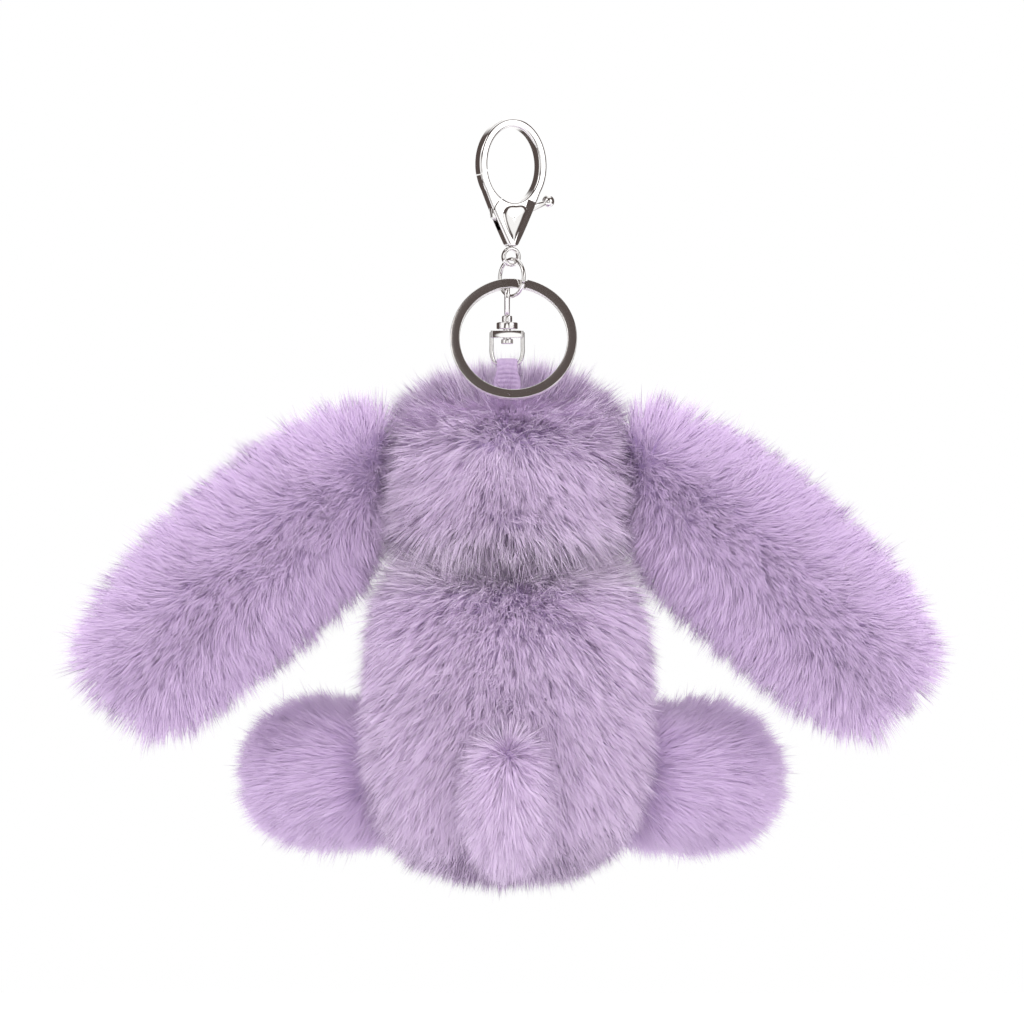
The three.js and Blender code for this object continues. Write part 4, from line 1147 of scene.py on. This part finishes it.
FRAME_WIDTH = 243.2 * MM  # what the view takes in at the object
CAMERA_DISTANCE = 0.95
SENSOR = 36.0
SOFTBOXES = (  # what the metal mirrors: a direction, the cosines where it fades in, and its brightness
    ((0.77, -0.64, 0.0), 0.86, 0.93, 1.07),
    ((-0.82, -0.5, 0.12), 0.86, 0.94, 1.2),
    ((0.0, -1.0, -0.08), 0.95, 0.98, 1.2),
    ((0.0, 0.1, 1.0), 0.72, 0.9, 1.1),
    ((0.0, 1.0, 0.1), 0.8, 0.92, 1.1),
    ((0.0, -0.2, -1.0), 0.75, 0.92, 0.6),
)
FLOOR_Z = -260.0
FLOOR_HALF = 450.0

floor_paint = material("floor_paint", (0.86, 0.86, 0.87), 0.9)
corners = [(x * FLOOR_HALF, y * FLOOR_HALF, FLOOR_Z) for x, y in ((-1, -1), (1, -1), (1, 1), (-1, 1))]
floor = mesh_object("studio_floor", corners, [(0, 1, 2, 3)], [floor_paint])

world = bpy.data.worlds.new("studio")
bpy.context.scene.world = world
world.use_nodes = True
tree = world.node_tree
tree.nodes.clear()


def lobe(direction, low, high):
    """1 towards a direction and 0 away from it; low and high are cosines."""
    dot = tree.nodes.new("ShaderNodeVectorMath")
    dot.operation = "DOT_PRODUCT"
    dot.inputs[1].default_value = Vector(direction).normalized()
    tree.links.new(sky_direction.outputs["Generated"], dot.inputs[0])
    ramp = tree.nodes.new("ShaderNodeMapRange")
    ramp.interpolation_type = "SMOOTHSTEP"
    ramp.inputs["From Min"].default_value = low
    ramp.inputs["From Max"].default_value = high
    tree.links.new(dot.outputs["Value"], ramp.inputs["Value"])
    return ramp.outputs["Result"]


def mixed(amount, a, b):
    mix = tree.nodes.new("ShaderNodeMix")
    mix.data_type = "RGBA"
    tree.links.new(amount, mix.inputs["Factor"])
    for socket, value in ((mix.inputs[6], a), (mix.inputs[7], b)):
        if isinstance(value, tuple):
            socket.default_value = (*value, 1.0)
        else:
            tree.links.new(value, socket)
    return mix.outputs[2]


sky_direction = tree.nodes.new("ShaderNodeTexCoord")
rays = tree.nodes.new("ShaderNodeLightPath")
studio = (0.1, 0.078, 0.072)
for direction, wide, narrow, glow in SOFTBOXES:
    studio = mixed(lobe(direction, wide, narrow), studio, (glow, glow, glow))
soft = mixed(lobe((0.0, -1.0, 0.45), -0.5, 0.95), (0.96, 0.95, 0.98), (1.56, 1.54, 1.56))
light = mixed(rays.outputs["Is Glossy Ray"], soft, studio)
light = mixed(rays.outputs["Is Camera Ray"], light, (1.0, 1.0, 1.0))
background = tree.nodes.new("ShaderNodeBackground")
output = tree.nodes.new("ShaderNodeOutputWorld")
tree.links.new(light, background.inputs["Color"])
tree.links.new(background.outputs["Background"], output.inputs["Surface"])


def soft_lamp(name, place, size, power):
    """An area lamp aimed at the middle of the object."""
    lamp = bpy.data.lights.new(name, "AREA")
    lamp.shape = "DISK"
    lamp.size = size
    lamp.energy = power
    holder = placed(name, lamp)
    holder.location = place
    aim = Vector((0, 0, -0.1)) - holder.location
    holder.rotation_euler = aim.to_track_quat("-Z", "Y").to_euler()


soft_lamp("key_lamp", (-0.45, -0.8, 0.55), 0.5, 1.1)
soft_lamp("fill_lamp", (0.7, -0.6, 0.3), 0.6, 0.8)
soft_lamp("back_lamp", (0.1, 0.7, 0.6), 0.5, 1.0)

camera = bpy.data.cameras.new("camera")
camera.lens = SENSOR * CAMERA_DISTANCE / FRAME_WIDTH
camera.sensor_width = SENSOR
holder = placed("camera", camera)
holder.location = (0.00024, -CAMERA_DISTANCE, -0.0913)
holder.rotation_euler = (math.pi / 2, 0, 0)
bpy.context.scene.camera = holder

bpy.context.scene.view_settings.view_transform = "Standard"

bpy.context.view_layer.update()
